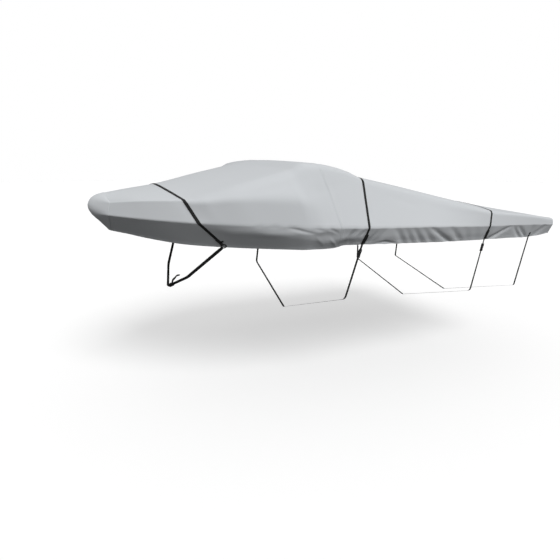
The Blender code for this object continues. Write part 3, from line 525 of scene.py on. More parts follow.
class Skin:
    """The outer face of the whole cover: points, four-sided faces by panel, normals and lengths."""

    def __init__(self, crease_strength):
        self.names, grid = full_rows()
        self.height, self.width = grid.shape[:2]
        self.grid = press_creases(grid, crease_strength)
        points = [self.grid.reshape(-1, 3)]
        self.count = self.height * self.width
        index = np.arange(self.count).reshape(self.height, self.width)
        self.index, self.caps = index, {}
        seam = self.names.index("cross seam")
        self.faces = {"nose": [], "fore": quads(index[:seam + 1]), "aft": quads(index[seam:])}
        for row, panel, is_nose in ((0, "nose", True), (self.height - 1, "aft", False)):
            cap = cap_points(self.grid[row], is_nose)
            table = self.add_cap(cap, index[row], points)
            self.caps[panel] = table
            faces = quads(table)
            self.faces[panel] = self.faces[panel] + ([f[::-1] for f in faces] if is_nose else faces)
        self.points = np.concatenate(points)
        self.normals = self.point_normals()
        self.finish_edges()

    def row(self, name):
        """The number of a named row."""
        return self.names.index(name)

    def add_cap(self, cap, edge, points):
        """Adds an end cap's own points and returns the index of every point of it."""
        table = np.zeros(cap.shape[:2], int)
        table[-1] = edge[LEVELS:LEVELS + cap.shape[1]]
        table[:, 0] = edge[:LEVELS + 1]
        table[:, -1] = edge[::-1][:LEVELS + 1]
        inner = cap[:-1, 1:-1]
        table[:-1, 1:-1] = self.count + np.arange(inner.size // 3).reshape(inner.shape[:2])
        points.append(inner.reshape(-1, 3))
        self.count += inner.size // 3
        return table

    def point_normals(self):
        """The normal at every point, from the faces round it."""
        normals = np.zeros_like(self.points)
        corners = np.array([face for faces in self.faces.values() for face in faces])
        a, b, c, d = (self.points[corners[:, k]] for k in range(4))
        flat = np.cross(c - a, d - b)
        for k in range(4):
            np.add.at(normals, corners[:, k], flat)
        return unit(normals)

    def finish_edges(self):
        """Raises the hem's turned-up band and the cross seam, and keeps each point's lengths."""
        from_port = lengths_along(self.grid, 1)
        from_starboard = from_port[:, -1:] - from_port
        self.above_hem = np.minimum(from_port, from_starboard)
        along = lengths_along(self.grid, 0)
        self.from_seam = along - along[self.row("cross seam")]
        lift = hem_lift(self.above_hem) + seam_lift(np.abs(self.from_seam))
        lifts = np.zeros(len(self.points))
        lifts[:lift.size] = lift.reshape(-1)
        self.points = self.points + self.normals * lifts[:, None]
        self.grid = self.points[:lift.size].reshape(self.height, self.width, 3)
        self.normals = self.point_normals()
        self.grid_normals = self.normals[:lift.size].reshape(self.height, self.width, 3)
        middle = self.width // 2
        run = along[:, middle][:, None] + np.zeros((1, self.width))
        self.uv = np.zeros((len(self.points), 2))
        across = from_port - from_port[:, middle:middle + 1]
        self.uv[:lift.size] = np.stack((run, across), -1).reshape(-1, 2)
        self.uv[lift.size:] = self.points[lift.size:, 1:]


def quads(index):
    """Four-sided faces over a table of point numbers."""
    a, b, c, d = index[:-1, :-1], index[1:, :-1], index[1:, 1:], index[:-1, 1:]
    return np.stack((a, b, c, d), -1).reshape(-1, 4).tolist()


def hem_lift(above):
    """How far the turned-up hem stands proud, by the distance above its lower edge."""
    turned = HEM_LIFT * np.clip((HEM_WIDTH + STEP_WIDTH / 2 - above) / STEP_WIDTH, 0.0, 1.0)
    bead = HEM_BEAD * np.sqrt(np.maximum(0.0, 1 - ((above - HEM_BEAD_MIDDLE) / HEM_BEAD_REACH) ** 2))
    return turned + bead


def seam_lift(away):
    """How far a lapped seam stands proud, by the distance from its middle."""
    return SEAM_LIFT * np.clip((SEAM_WIDTH + STEP_WIDTH / 2 - away) / STEP_WIDTH, 0.0, 1.0)


def press_creases(grid, strength):
    """Presses every crease into the rows' grid, along its normals."""
    normals = grid_normals(grid)
    chart = np.stack((grid[:, :, 0] + MOUNT_STATION, lengths_along(grid, 1)), -1)
    middle = grid.shape[1] // 2
    chart[:, :, 1] -= chart[:, middle:middle + 1, 1]
    depth = np.zeros(grid.shape[:2])
    for side, path, deep, half_width in CREASES:
        for way in (side,) if side else (-1, 1):
            line = np.array([chart_point(chart, way, *point) for point in path])
            depth += deep * crease_shape(chart, line, half_width)
    return grid - normals * (depth * strength)[:, :, None]


def chart_point(chart, side, station, level):
    """A place on the cover, by its station and level, in the skin's own flat coordinates."""
    bounds = (0, TOP_STEPS + ROUND_STEPS // 2, TOP_STEPS + ROUND_STEPS + SIDE_STEPS, HALF_STEPS)
    middle = chart.shape[1] // 2
    around = []
    for column in (int(level), min(int(level) + 1, 3)):
        line = chart[:, middle + side * bounds[column]]
        around.append(np.interp(station, line[:, 0], line[:, 1]))
    share = level - int(level)
    return station, around[0] + (around[1] - around[0]) * share


def crease_shape(chart, line, half_width):
    """A soft trough along a line, one deep at its middle and fading at both ends."""
    nearest = np.full(chart.shape[:2], np.inf)
    along = np.zeros(chart.shape[:2])
    steps = np.linalg.norm(np.diff(line, axis=0), axis=1)
    total = steps.sum()
    run = 0.0
    for a, b, step in zip(line[:-1], line[1:], steps):
        t = np.clip(((chart - a) @ (b - a)) / step ** 2, 0.0, 1.0)
        away = np.linalg.norm(chart - (a + t[:, :, None] * (b - a)), axis=-1)
        closer = away < nearest
        along = np.where(closer, (run + t * step) / total, along)
        nearest = np.minimum(nearest, away)
        run += step
    fade = np.sin(pi * (CREASE_END + (1 - 2 * CREASE_END) * along))
    return np.exp(-(nearest / half_width) ** 2) * fade


@lru_cache(maxsize=1)
def cover_skin(crease_strength):
    """The cover's skin, made once for all the pieces that lie on it."""
    return Skin(crease_strength)


# ---------------------------------------------------------------------------------------------
# Finishes

def new_material(name, colour, roughness):
    """A material of one colour and roughness, with its node tree and its shader."""
    made = bpy.data.materials.new(name)
    made.use_nodes = True
    tree = made.node_tree
    shader = tree.nodes["Principled BSDF"]
    shader.inputs["Base Color"].default_value = (*colour, 1.0)
    shader.inputs["Roughness"].default_value = roughness
    return made, tree, shader


def node(tree, kind, links=None, **values):
    """A node with its values set, and its inputs linked from other nodes' outputs."""
    made = tree.nodes.new(kind)
    for key, value in values.items():
        setattr(made, key, value)
    for key, value in (links or {}).items():
        if isinstance(value, bpy.types.NodeSocket):
            tree.links.new(value, made.inputs[key])
        else:
            made.inputs[key].default_value = value
    return made


def woven(tree, uv, pitch, along, across):
    """A plain weave's height: threads over and under one another."""
    warp = node(tree, "ShaderNodeTexWave", {"Vector": uv, "Scale": WAVE_PITCH / pitch * along},
                wave_type="BANDS", bands_direction="X")
    weft = node(tree, "ShaderNodeTexWave", {"Vector": uv, "Scale": WAVE_PITCH / pitch * across},
                wave_type="BANDS", bands_direction="Y")
    return node(tree, "ShaderNodeMath", {0: warp.outputs["Fac"], 1: weft.outputs["Fac"]},
                operation="MAXIMUM").outputs["Value"]


def relief(tree, shader, height, strength, distance):
    """Gives a shader a bump from a height, distance being how high its full height is."""
    bump = node(tree, "ShaderNodeBump", {"Height": height, "Strength": strength, "Distance": distance})
    tree.links.new(bump.outputs["Normal"], shader.inputs["Normal"])


def noise(tree, where, scale, detail):
    """A noise's value, from 0 to 1."""
    made = node(tree, "ShaderNodeTexNoise", {"Vector": where, "Scale": scale, "Detail": detail})
    return made.outputs["Fac"]


def tinted(tree, shader, value, colour, dark, light, ends=(0.0, 1.0)):
    """Colours a shader by a value, from a darker to a lighter colour between two ends of it."""
    ramp = node(tree, "ShaderNodeValToRGB", {"Fac": value})
    for element, end, share in zip(ramp.color_ramp.elements, ends, (dark, light)):
        element.position = end
        element.color = (*(min(1.0, part * share) for part in colour), 1.0)
    tree.links.new(ramp.outputs["Color"], shader.inputs["Base Color"])


def cloth_material(name, colour, pitch):
    """Matt woven polyester with soft mottling, thread by thread relief and a little sheen."""
    _, tree, shader = new_material(name, colour, roughness=0.72)
    shader.inputs["Sheen Weight"].default_value = 0.12
    shader.inputs["Specular IOR Level"].default_value = 0.35
    where = node(tree, "ShaderNodeTexCoord").outputs
    broad = noise(tree, where["Object"], scale=2.2, detail=4.0)
    fine = noise(tree, where["Object"], scale=38.0, detail=3.0)
    both = node(tree, "ShaderNodeMix", {"Factor": 0.3, 2: broad, 3: fine}, data_type="FLOAT")
    tinted(tree, shader, both.outputs[0], colour, dark=0.93, light=1.05, ends=(0.3, 0.7))
    weave = woven(tree, where["UV"], pitch, along=1.0, across=1.0)
    relief(tree, shader, weave, strength=0.25, distance=0.0003)


def webbing_material(name, colour, pitch):
    """Black webbing: ribs along its length crossed by fine weft."""
    _, tree, shader = new_material(name, colour, roughness=0.62)
    shader.inputs["Sheen Weight"].default_value = 0.1
    where = node(tree, "ShaderNodeTexCoord").outputs
    ribs = woven(tree, where["UV"], pitch, along=0.6, across=1.0)
    relief(tree, shader, ribs, strength=0.6, distance=0.0006)
    grain = noise(tree, where["Object"], scale=60.0, detail=2.0)
    tinted(tree, shader, grain, colour, dark=0.7, light=1.5)


def plastic_material(name, colour):
    """Moulded plastic with a fine spark-eroded grain, worn shinier in places."""
    _, tree, shader = new_material(name, colour, roughness=0.38)
    where = node(tree, "ShaderNodeTexCoord").outputs
    grain = noise(tree, where["Object"], scale=900.0, detail=2.0)
    relief(tree, shader, grain, strength=0.15, distance=0.0002)
    wear = noise(tree, where["Object"], scale=120.0, detail=3.0)
    rough = node(tree, "ShaderNodeMapRange", {"Value": wear, "To Min": 0.32, "To Max": 0.5})
    tree.links.new(rough.outputs[0], shader.inputs["Roughness"])


# ---------------------------------------------------------------------------------------------
# Meshes

def piece(name, points, faces, finish, uv=None, smooth_shaded=True):
    """A piece of the cover from points and faces, riding with the part."""
    mesh = bpy.data.meshes.new(name)
    mesh.from_pydata([tuple(p) for p in points], [], faces)
    mesh.validate()
    if uv is not None:
        layer = mesh.uv_layers.new(name="Cloth")
        corners = np.zeros(len(mesh.loops), int)
        mesh.loops.foreach_get("vertex_index", corners)
        layer.data.foreach_set("uv", np.asarray(uv, float)[corners].reshape(-1))
    mesh.materials.append(finish)
    if smooth_shaded:
        mesh.shade_smooth()
        mesh.set_sharp_from_angle(angle=SHARP_ANGLE)
    mesh.update()
    made = bpy.data.objects.new(name, mesh)
    bpy.context.collection.objects.link(made)
    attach(made, "root")
    return made


def thread(points, normals):
    """Lock stitches along a line on the cloth: small bars with their upper edges drawn in."""
    points, normals = np.asarray(points), np.asarray(normals)
    run = running_length(points)
    count = int(run[-1] / STITCH_PITCH)
    if count < 1:
        return np.zeros((0, 3)), []
    starts = (np.arange(count) + STITCH_START) * run[-1] / count
    ends = starts + STITCH_LENGTH * run[-1] / (count * STITCH_PITCH)
    first, last, up = (
        np.stack([np.interp(at, run, values[:, k]) for k in range(3)], axis=1)
        for at, values in ((starts, points), (ends, points), ((starts + ends) / 2, normals)))
    up = unit(up)
    along = unit(last - first)
    across = np.cross(up, along) * STITCH_WIDTH / 2
    tuck = along * STITCH_LENGTH * STITCH_TUCK
    crown = across * STITCH_CROWN
    low, high = up * -STITCH_SUNK, up * STITCH_HEIGHT
    corners = np.stack((
        first - across + low, first + across + low, last + across + low, last - across + low,
        first + tuck - crown + high, first + tuck + crown + high,
        last - tuck + crown + high, last - tuck - crown + high), axis=1)
    box = ((0, 1, 2, 3), (7, 6, 5, 4), (0, 4, 5, 1), (1, 5, 6, 2), (2, 6, 7, 3), (3, 7, 4, 0))
    faces = [[8 * k + corner for corner in face] for k in range(count) for face in box]
    return corners.reshape(-1, 3), faces


def offset_line(skin, table, distance):
    """A line on the skin at a distance up from the first row of a table of its points."""
    points, normals = skin.points[table], skin.normals[table]
    run = lengths_along(points, 0)
    found, upward = [], []
    for column in range(table.shape[1]):
        k = min(int(np.searchsorted(run[:, column], distance, side="right")) - 1, len(run) - 2)
        t = (distance - run[k, column]) / max(run[k + 1, column] - run[k, column], TINY)
        found.append(points[k, column] + (points[k + 1, column] - points[k, column]) * t)
        upward.append(normals[k, column])
    return found, upward


def panel_stitches(skin, panel):
    """The lines of stitching of one panel, along its hem and its seams."""
    seam = skin.row("cross seam")
    tables = []
    if panel in skin.caps:
        tables += [(skin.caps[panel], distance) for distance in HEM_STITCHES]
    if panel != "nose":
        rows = skin.index[:seam + 1] if panel == "fore" else skin.index[seam:]
        tables += [(side.T, distance) for side in (rows, rows[:, ::-1]) for distance in HEM_STITCHES]
        away = rows[::-1] if panel == "fore" else rows
        tables += [(away, distance) for distance in SEAM_STITCHES]
    if panel == "fore":
        tables += [(rows, distance) for distance in SEAM_STITCHES]
    return [thread(*offset_line(skin, table, distance)) for table, distance in tables]


def panel_shell(skin, panel):
    """One cut panel: points, faces and flat coordinates of its two faces and the edge between."""
    corners = np.array(skin.faces[panel])
    used = np.unique(corners)
    others = np.unique(np.concatenate(
        [np.array(faces).reshape(-1) for name, faces in skin.faces.items() if name != panel]))
    outer = skin.points[used].copy()
    shared = np.isin(used, others)
    place_of = np.full(len(skin.points), -1)
    place_of[used] = np.arange(len(used))
    local = place_of[corners]
    pull = np.zeros_like(outer)
    for k in range(4):
        for step in (1, 3):
            near = local[:, (k + step) % 4]
            inside = ~shared[near]
            np.add.at(pull, local[inside, k], outer[near[inside]] - outer[local[inside, k]])
    outer[shared] += unit(pull[shared]) * SEAM_GAP / 2
    inner = outer - skin.normals[used] * CLOTH
    count = len(used)
    faces = local.tolist() + (local[:, ::-1] + count).tolist()
    edges = set()
    for k in range(4):
        edges.update(zip(local[:, k].tolist(), local[:, (k + 1) % 4].tolist()))
    faces += [[b, a, a + count, b + count] for a, b in edges if (b, a) not in edges]
    shell = [outer, inner]
    total = 2 * count
    for points, bars in panel_stitches(skin, panel):
        shell.append(points)
        faces += [[corner + total for corner in bar] for bar in bars]
        total += len(points)
    uv = np.concatenate((skin.uv[used], skin.uv[used], np.zeros((total - 2 * count, 2))))
    return np.concatenate(shell), faces, uv


def cut_size(skin, panel):
    """The width and length of the piece that a panel is cut from, and the area of its cut."""
    seam = skin.row("cross seam")
    rows = skin.grid[:seam + 1] if panel == "fore" else skin.grid[seam:]
    if panel == "nose":
        rows = skin.points[skin.caps[panel]]
    width, length = (float(lengths_along(rows, axis).max()) for axis in (1, 0))
    if panel == "aft":
        flap = skin.points[skin.caps[panel]]
        length += float(lengths_along(flap, 0)[-1, flap.shape[1] // 2])
    corners = skin.points[np.array(skin.faces[panel])]
    halves = np.cross(corners[:, 2] - corners[:, 0], corners[:, 3] - corners[:, 1])
    return (width, length), float(np.linalg.norm(halves, axis=1).sum() / 2)


def strap_rows(skin, rows):
    """A strap's middle, half width and normal at each column of the skin, port hem to starboard."""
    fore, aft = (skin.row(name) for name in rows)
    normal = unit(skin.grid_normals[fore] + skin.grid_normals[aft])
    middle = (skin.grid[fore] + skin.grid[aft]) / 2 + normal * LAY_GAP
    return middle, (skin.grid[aft] - skin.grid[fore]) / 2, normal


def band(name, rings, finish, low=0.0, thick=WEBBING, stitched=()):
    """A length of webbing through rings, each a middle, a half width and an outward normal. Lines
    of stitching on its face are given as stretches of rings with shares of its half width."""
    points, uv = [], []
    for (middle, half, normal), run in zip(rings, running_length([ring[0] for ring in rings])):
        width = float(np.linalg.norm(half))
        for across, up in WEBBING_PROFILE:
            points.append(middle + half * across + normal * (low + thick * up))
            uv.append((run, across * width))
    size = len(WEBBING_PROFILE)
    faces = []
    for k in range(len(rings) - 1):
        for s in range(size):
            n = (s + 1) % size
            faces.append([k * size + s, k * size + n, (k + 1) * size + n, (k + 1) * size + s])
    faces.append(list(range(size))[::-1])
    faces.append([(len(rings) - 1) * size + s for s in range(size)])
    along = rings[1][0] - rings[0][0]
    if np.dot(np.cross(along, rings[0][1]), rings[0][2]) > 0:
        faces = [face[::-1] for face in faces]
    for line in stitched:
        top = [rings[k][0] + rings[k][1] * across + rings[k][2] * (low + thick) for k, across in line]
        bars, bar_faces = thread(top, [rings[k][2] for k, _ in line])
        faces += [[corner + len(points) for corner in face] for face in bar_faces]
        points += list(bars)
        uv += [(0.0, 0.0)] * len(bars)
    return piece(name, points, faces, finish, uv)


def mix_ring(a, b, t):
    """A ring between two rings."""
    middle, half, normal = (x + (y - x) * t for x, y in zip(a, b))
    width = np.linalg.norm(a[1]) + (np.linalg.norm(b[1]) - np.linalg.norm(a[1])) * t
    return middle, unit(half) * width, unit(normal)


def straight_run(a, b):
    """Rings along a straight stretch of webbing between two rings, both ends included."""
    count = max(1, int(np.linalg.norm(b[0] - a[0]) / STRAIGHT_STEP))
    return [mix_ring(a, b, k / count) for k in range(count + 1)]


def bent_route(stops, radius=CORNER_RADIUS):
    """Rings along a route of straight runs, eased round each corner between them."""
    rings = [stops[0]]
    for before, corner, after in zip(stops, stops[1:], stops[2:]):
        length_in, length_out = (np.linalg.norm(other[0] - corner[0]) for other in (before, after))
        room = min(radius, CORNER_ROOM * length_in, CORNER_ROOM * length_out)
        entering = mix_ring(corner, before, room / length_in)
        leaving = mix_ring(corner, after, room / length_out)
        rings += straight_run(rings[-1], entering)[1:]
        for k in range(1, CORNER_STEPS + 1):
            t = k / CORNER_STEPS
            middle = entering[0] * (1 - t) ** 2 + corner[0] * 2 * t * (1 - t) + leaving[0] * t ** 2
            _, half, normal = mix_ring(entering, leaving, t)
            rings.append((middle, half, normal))
    return rings + straight_run(rings[-1], stops[-1])[1:]


def frame_of(start, end, hint):
    """Direction, width and outward normal of a straight run, the width pointing aft."""
    along = unit(end - start)
    wide = unit(np.cross(along, hint))
    if wide[0] < 0:
        wide = -wide
    out = unit(np.cross(wide, along))
    if np.dot(out, hint) < 0:
        out = -out
    return along, wide, out


def hull_point(point, side):
    """A place on the hull's port side, on the side that is wanted."""
    return place(point[0], side * point[1], point[2])


def hull_normal(normal, side):
    """A normal of the hull's port side, on the side that is wanted."""
    return np.array((normal[0], -side * normal[1], normal[2]))


def hull_stops(start, side, width, chine, keel, side_normal, keel_normal):
    """The rings where a strap bends below the hem on one side: chine and keel, and its frame."""
    corner = hull_point(chine, side)
    bottom = hull_point(keel, side)
    down = frame_of(start, corner, hull_normal(side_normal, side))
    under = frame_of(corner, bottom, hull_normal(keel_normal, side))
    wide = unit(down[1] + under[1]) * width / 2
    flat = np.array((under[1][0], 0.0, under[1][2]))
    upright = np.array((under[2][0], 0.0, under[2][2]))
    return down, [(corner, wide, unit(down[2] + under[2])),
                  (bottom, unit(flat) * width / 2, unit(upright))]


def up_from_hem(strap, distance, side, width=None):
    """The ring of a strap some way above the hem on one side."""
    middle, half, normal = (part if side < 0 else part[::-1] for part in strap)
    run = running_length(middle)
    k = int(np.searchsorted(run, distance, side="right") - 1)
    t = (distance - run[k]) / (run[k + 1] - run[k])
    ring = mix_ring((middle[k], half[k], normal[k]), (middle[k + 1], half[k + 1], normal[k + 1]), t)
    if width:
        return ring[0], unit(ring[1]) * width / 2, ring[2]
    return ring


def between(strap, top, bottom, side, width=None):
    """The rings of a strap down one side from one height above the hem to another."""
    run = running_length(strap[0] if side < 0 else strap[0][::-1])
    inside = run[(run > bottom + RING_SPACING) & (run < top - RING_SPACING)]
    return [up_from_hem(strap, distance, side, width) for distance in (top, *inside[::-1], bottom)]


def make_tab(name, strap, ends, side, finish):
    """A tab of webbing sewn to the skirt over a strap, stitched down both edges and across."""
    rings = between(strap, *ends, side, TAB_WIDTH)
    edge = 1 - 2 * TAB_STITCHES / TAB_WIDTH
    last = len(rings) - 1
    stitched = [[(k, across) for k in range(len(rings))] for across in (-edge, edge)]
    stitched += [[(k, -edge), (k, edge)] for k in (0, 1, last)]
    made = band(name + "_webbing", rings, finish, WEBBING + TAB_GAP, stitched=stitched)
    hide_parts(name)


def strap_list(strap):
    """A strap's rings one by one, port hem to starboard."""
    return list(zip(*strap))


def make_girth(skin, name, rows, width, chine, keel, side_normal, keel_normal, finish):
    """A strap right round cover and hull."""
    strap = strap_rows(skin, rows)
    rings = strap_list(strap)
    loop = rings[HEM_RINGS + 1:-HEM_RINGS - 1]
    for side, word in SIDES:
        start, above = (rings[k if side < 0 else -1 - k] for k in (0, HEM_RINGS))
        down, stops = hull_stops(start[0], side, width, chine, keel, side_normal, keel_normal)
        way = bent_route([above, start] + stops)
        loop = way[::-1] + loop if side < 0 else loop + way
        make_tab(f"{name}_tab_{word}", strap, GIRTH_TAB, side, finish)
        if side < 0:
            centre = start[0] + down[0] * BUCKLE_BELOW_HEM + down[2] * WEBBING / 2
            make_buckle(f"{name}_buckle", centre, down, width)
    made = band(f"{name}_strap", loop, finish)
    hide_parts(f"{name}_strap_over", *(
        f"{name}_strap_{run}_{word}" for run in ("side", "bottom") for _, word in SIDES))


def buckle_solids(half_width, half_webbing):
    """A side-release buckle's solids, each an outline and its bottom and top: socket, prongs and
    plug, and at both ends two rails with the bars that its webbing is threaded round."""
    half, deep = BUCKLE_LENGTH / 2, BUCKLE_DEPTH / 2
    for edge, low, high in BUCKLE_BODY:
        near = [(x * half_width, y * half) for x, y in edge]
        yield near + [(-x, y) for x, y in near[::-1]], low * deep, high * deep
    bar, rail = half_width * BUCKLE_BAR_WIDTH, half_webbing + BUCKLE_CLEARANCE
    crossing = [(-bar, bar, *shares) for shares in BUCKLE_BARS]
    railing = [(side * rail, side * half_width, *BUCKLE_RAIL) for side in (-1, 1)]
    for end in (-1, 1):
        for x0, x1, start, stop, low, high in crossing + railing:
            yield oblong(x0, x1, end * start * half, end * stop * half), low * deep, high * deep


def oblong(x0, x1, y0, y1):
    """A rectangle's corners, anticlockwise."""
    (x0, x1), (y0, y1) = sorted((x0, x1)), sorted((y0, y1))
    return [(x1, y0), (x1, y1), (x0, y1), (x0, y0)]


def make_buckle(name, centre, frame_axes, webbing_width):
    """A side-release buckle on a strap."""
    along, wide, out = frame_axes
    points, faces = [], []
    for outline, low, high in buckle_solids(webbing_width / 2 + BUCKLE_CHEEK, webbing_width / 2):
        first, count = len(points), len(outline)
        points += [centre + wide * x + along * y + out * level
                   for level in (low, high) for x, y in outline]
        lower = [first + k for k in range(count)]
        upper = [first + count + k for k in range(count)]
        faces += [lower[::-1], upper]
        faces += [[lower[k - 1], lower[k], upper[k], upper[k - 1]] for k in range(count)]
    if np.dot(np.cross(wide, along), out) < 0:
        faces = [face[::-1] for face in faces]
    made = piece(f"{name}_body", points, faces, bpy.data.materials["buckle_plastic"],
                 smooth_shaded=False)
    bevel = made.modifiers.new("Soft edges", "BEVEL")
    bevel.width = BUCKLE_EDGE
    bevel.segments = 3
    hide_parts(name)


def make_ring(name, centre, normal):
    """A round ring of plastic-coated wire lying on the cloth."""
    major, minor = 48, 12
    side = unit(np.cross(normal, (1.0, 0.0, 0.0)))
    ahead = np.cross(side, normal)
    points, faces = [], []
    for i in range(major):
        a = 2 * pi * i / major
        spoke = side * cos(a) + ahead * sin(a)
        for j in range(minor):
            b = 2 * pi * j / minor
            reach, lift = RING_RADIUS + RING_WIRE * cos(b), RING_WIRE * sin(b)
            points.append(centre + spoke * reach + normal * lift)
            i2, j2 = (i + 1) % major, (j + 1) % minor
            faces.append([i * minor + j, i * minor + j2, i2 * minor + j2, i2 * minor + j])
    made = piece(f"{name}_wire", points, faces, bpy.data.materials["buckle_plastic"])
    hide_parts(name)


def gathered_end(centre, normal, direction, aft):
    """Two rings of webbing drawn together over a ring's wire, from inside the ring outwards."""
    flat = unit(direction - normal * np.dot(direction, normal))
    across = np.cross(normal, flat)
    if np.dot(across, aft) < 0:
        across = -across
    lifted = centre + normal * (RING_WIRE + LAY_GAP)
    half = across * GATHER_WIDTH / 2
    return [(lifted + flat * away, half, normal) for away in (GATHER_INSIDE, GATHER_OUTSIDE)]


def make_bow_strap(skin, finish):
    """The strap over the foredeck, which turns at a ring on the hem and runs down to the stem."""
    strap = strap_rows(skin, BOW_ROWS)
    leaves = RING_ABOVE_HEM + GATHER_OUTSIDE + GATHER_LENGTH
    above = int(np.searchsorted(running_length(strap[0]), leaves + RING_SPACING))
    path = strap_list(strap)[above:-above]
    for side, word in SIDES:
        middle, half, normal = up_from_hem(strap, RING_ABOVE_HEM, side)
        centre = middle + normal * RING_WIRE
        make_ring(f"bow_ring_{word}", centre, normal)
        spread = up_from_hem(strap, leaves, side)
        end = [spread, *gathered_end(centre, normal, spread[0] - middle, half)[::-1]]
        path = end[::-1] + path if side < 0 else path + end
        make_tab(f"bow_tab_{word}", strap, BOW_TAB, side, finish)
        make_tag(f"bow_tag_{word}", up_from_hem(strap, TAG_ABOVE_HEM, side), finish)
        make_stem_run(centre, normal, side, word, finish)
    made = band("bow_strap", path, finish)
    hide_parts("bow_strap_over")


def make_tag(name, seat, finish):
    """The free end of a webbing, lying over the bow strap's tab and pointing aft."""
    middle, half, normal = seat
    aft = unit(unit(half) + np.array((0.0, 0.0, TAG_RISE)))
    aft = unit(aft - normal * np.dot(aft, normal))
    across = np.cross(normal, aft) * TAG_WIDTH / 2
    made = band(name + "_end", [(middle, across, normal), (middle + aft * TAG_LENGTH, across, normal)],
                finish, 2 * WEBBING + TAB_GAP + LAY_GAP / 2)
    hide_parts(name)


def make_stem_run(centre, normal, side, word, finish):
    """The bow strap from its ring down to the chine and in to the stem, with the stem's buckle."""
    corner = hull_point(BOW_CHINE, side)
    bottom = hull_point(BOW_KEEL, side)
    down = frame_of(centre, corner, hull_normal(BOW_SIDE_NORMAL, side))
    under = frame_of(corner, bottom, hull_normal(BOW_STEM_NORMAL, side))
    wide = unit(down[1] + under[1]) * BOW_WIDTH / 2
    end = gathered_end(centre, normal, down[0], down[1])
    leaving = end[1][0]
    fall = unit(corner - leaving)
    flat = np.array((under[1][0], 0.0, under[1][2]))
    upright = np.array((under[2][0], 0.0, under[2][2]))
    stops = end + [(leaving + fall * GATHER_LENGTH, down[1] * BOW_WIDTH / 2, down[2]),
                   (corner, wide, unit(down[2] + under[2])),
                   (bottom, unit(flat) * BOW_WIDTH / 2, unit(upright))]
    made = band(f"bow_strap_lower_{word}", bent_route(stops), finish)
    nodes = [f"bow_strap_side_{word}", f"bow_strap_stem_{word}"]
    if side < 0:
        nodes.append("bow_strap_stem_end")
        middle = bottom - under[0] * STEM_BUCKLE_FROM_KEEL
        make_buckle("bow_buckle", middle + under[2] * WEBBING / 2, under, BOW_WIDTH)
        make_tail(middle + under[2] * (WEBBING / 2 + BUCKLE_DEPTH / 2 + LAY_GAP), under, finish)
    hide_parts(*nodes)


def make_tail(start, frame_axes, finish):
    """The free end past the stem's buckle, lying on it and then standing up on its edge."""
    along, _, out = frame_axes
    path = [start, start - along * TAIL_ON_BUCKLE] + [hull_point(point, -1) for point in TAIL]
    across = np.cross(along, out) * TAIL_WIDTH / 2
    rings = [(path[0], across, out), (path[1], across, out)]
    last = len(path) - 1
    for k in range(2, len(path)):
        ahead = unit(path[min(k + 1, last)] - path[k - 1])
        turn = (k - 1) / (last - 1)
        face = out * (1 - turn) - np.cross(ahead, out) * turn
        face = unit(face - ahead * np.dot(face, ahead))
        rings.append((path[k], np.cross(face, ahead) * TAIL_WIDTH / 2, face))
    made = band("bow_strap_end", bent_route(rings, TAIL_BEND), finish)
    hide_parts("bow_strap_tail")


def make_stern_tie(skin, finish):
    """A tab on the hem near each stern corner, and the webbing from it right under the hull."""
    strap = strap_rows(skin, TIE_ROWS)
    ways = []
    for side, _ in SIDES:
        start = strap_list(strap)[0 if side < 0 else -1]
        _, stops = hull_stops(start[0], side, TIE_WIDTH, TIE_CHINE, TIE_KEEL, TIE_SIDE_NORMAL,
                              TIE_KEEL_NORMAL)
        tab = between(strap, TIE_TAB_LENGTH, 0.0, side)
        ways.append(tab[:-2] + bent_route([tab[-2], start] + stops, TIE_BEND))
    port, starboard = ways
    made = band("stern_tie", port[::-1] + starboard[1:], finish)
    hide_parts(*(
        f"stern_{part}_{word}" for part in ("tab", "tie_side", "tie_bottom") for _, word in SIDES))


# ---------------------------------------------------------------------------------------------
# What a user can change

class CoverClothSettings(bpy.types.PropertyGroup):
    colour: bpy.props.FloatVectorProperty(
        name="Cloth colour", description="Colour of the cover's cloth", subtype="COLOR", size=3,
        default=(0.446, 0.464, 0.485), min=0.0, max=1.0)
    thread: bpy.props.FloatProperty(
        name="Thread pitch", description="From one thread of the weave to the next",
        default=0.0012, unit="LENGTH", precision=5)
    creases: bpy.props.FloatProperty(
        name="Creases", description="How deep the creases are, 1 being as worn", default=1.0,
        subtype="FACTOR", min=0.0, max=2.0)


class CoverWebbingSettings(bpy.types.PropertyGroup):
    colour: bpy.props.FloatVectorProperty(
        name="Webbing colour", description="Colour of the straps and tabs", subtype="COLOR", size=3,
        default=(0.012, 0.012, 0.013), min=0.0, max=1.0)
    buckle: bpy.props.FloatVectorProperty(
        name="Buckle colour", description="Colour of buckles and rings", subtype="COLOR", size=3,
        default=(0.010, 0.010, 0.011), min=0.0, max=1.0)


class CoverStageSettings(bpy.types.PropertyGroup):
    key: bpy.props.FloatProperty(
        name="Key light", description="Strength of the soft light from port and above", default=2.15)
    sky: bpy.props.FloatProperty(
        name="Sky", description="Brightness of the surroundings", default=0.49)
    below: bpy.props.FloatProperty(
        name="Below", description="Brightness of the light from underneath", default=0.05)


class CoverOperator:
    """What every operator of the cover shares."""
    bl_options = {"REGISTER", "UNDO"}

    def skin(self, context):
        """The skin that the cover's pieces are cut from and lie on."""
        return cover_skin(context.scene.cover_cloth.creases)


class COVER_OT_finishes(CoverOperator, bpy.types.Operator):
    """Make the cloth's, webbing's and buckles' materials"""
    bl_idname = "cover.finishes"
    bl_label = "Finishes"

    def execute(self, context):
        cloth, webbing = context.scene.cover_cloth, context.scene.cover_webbing
        cloth_material("cover_cloth", tuple(cloth.colour), cloth.thread)
        webbing_material("webbing", tuple(webbing.colour), RIB_PITCH)
        plastic_material("buckle_plastic", tuple(webbing.buckle))
        return {"FINISHED"}


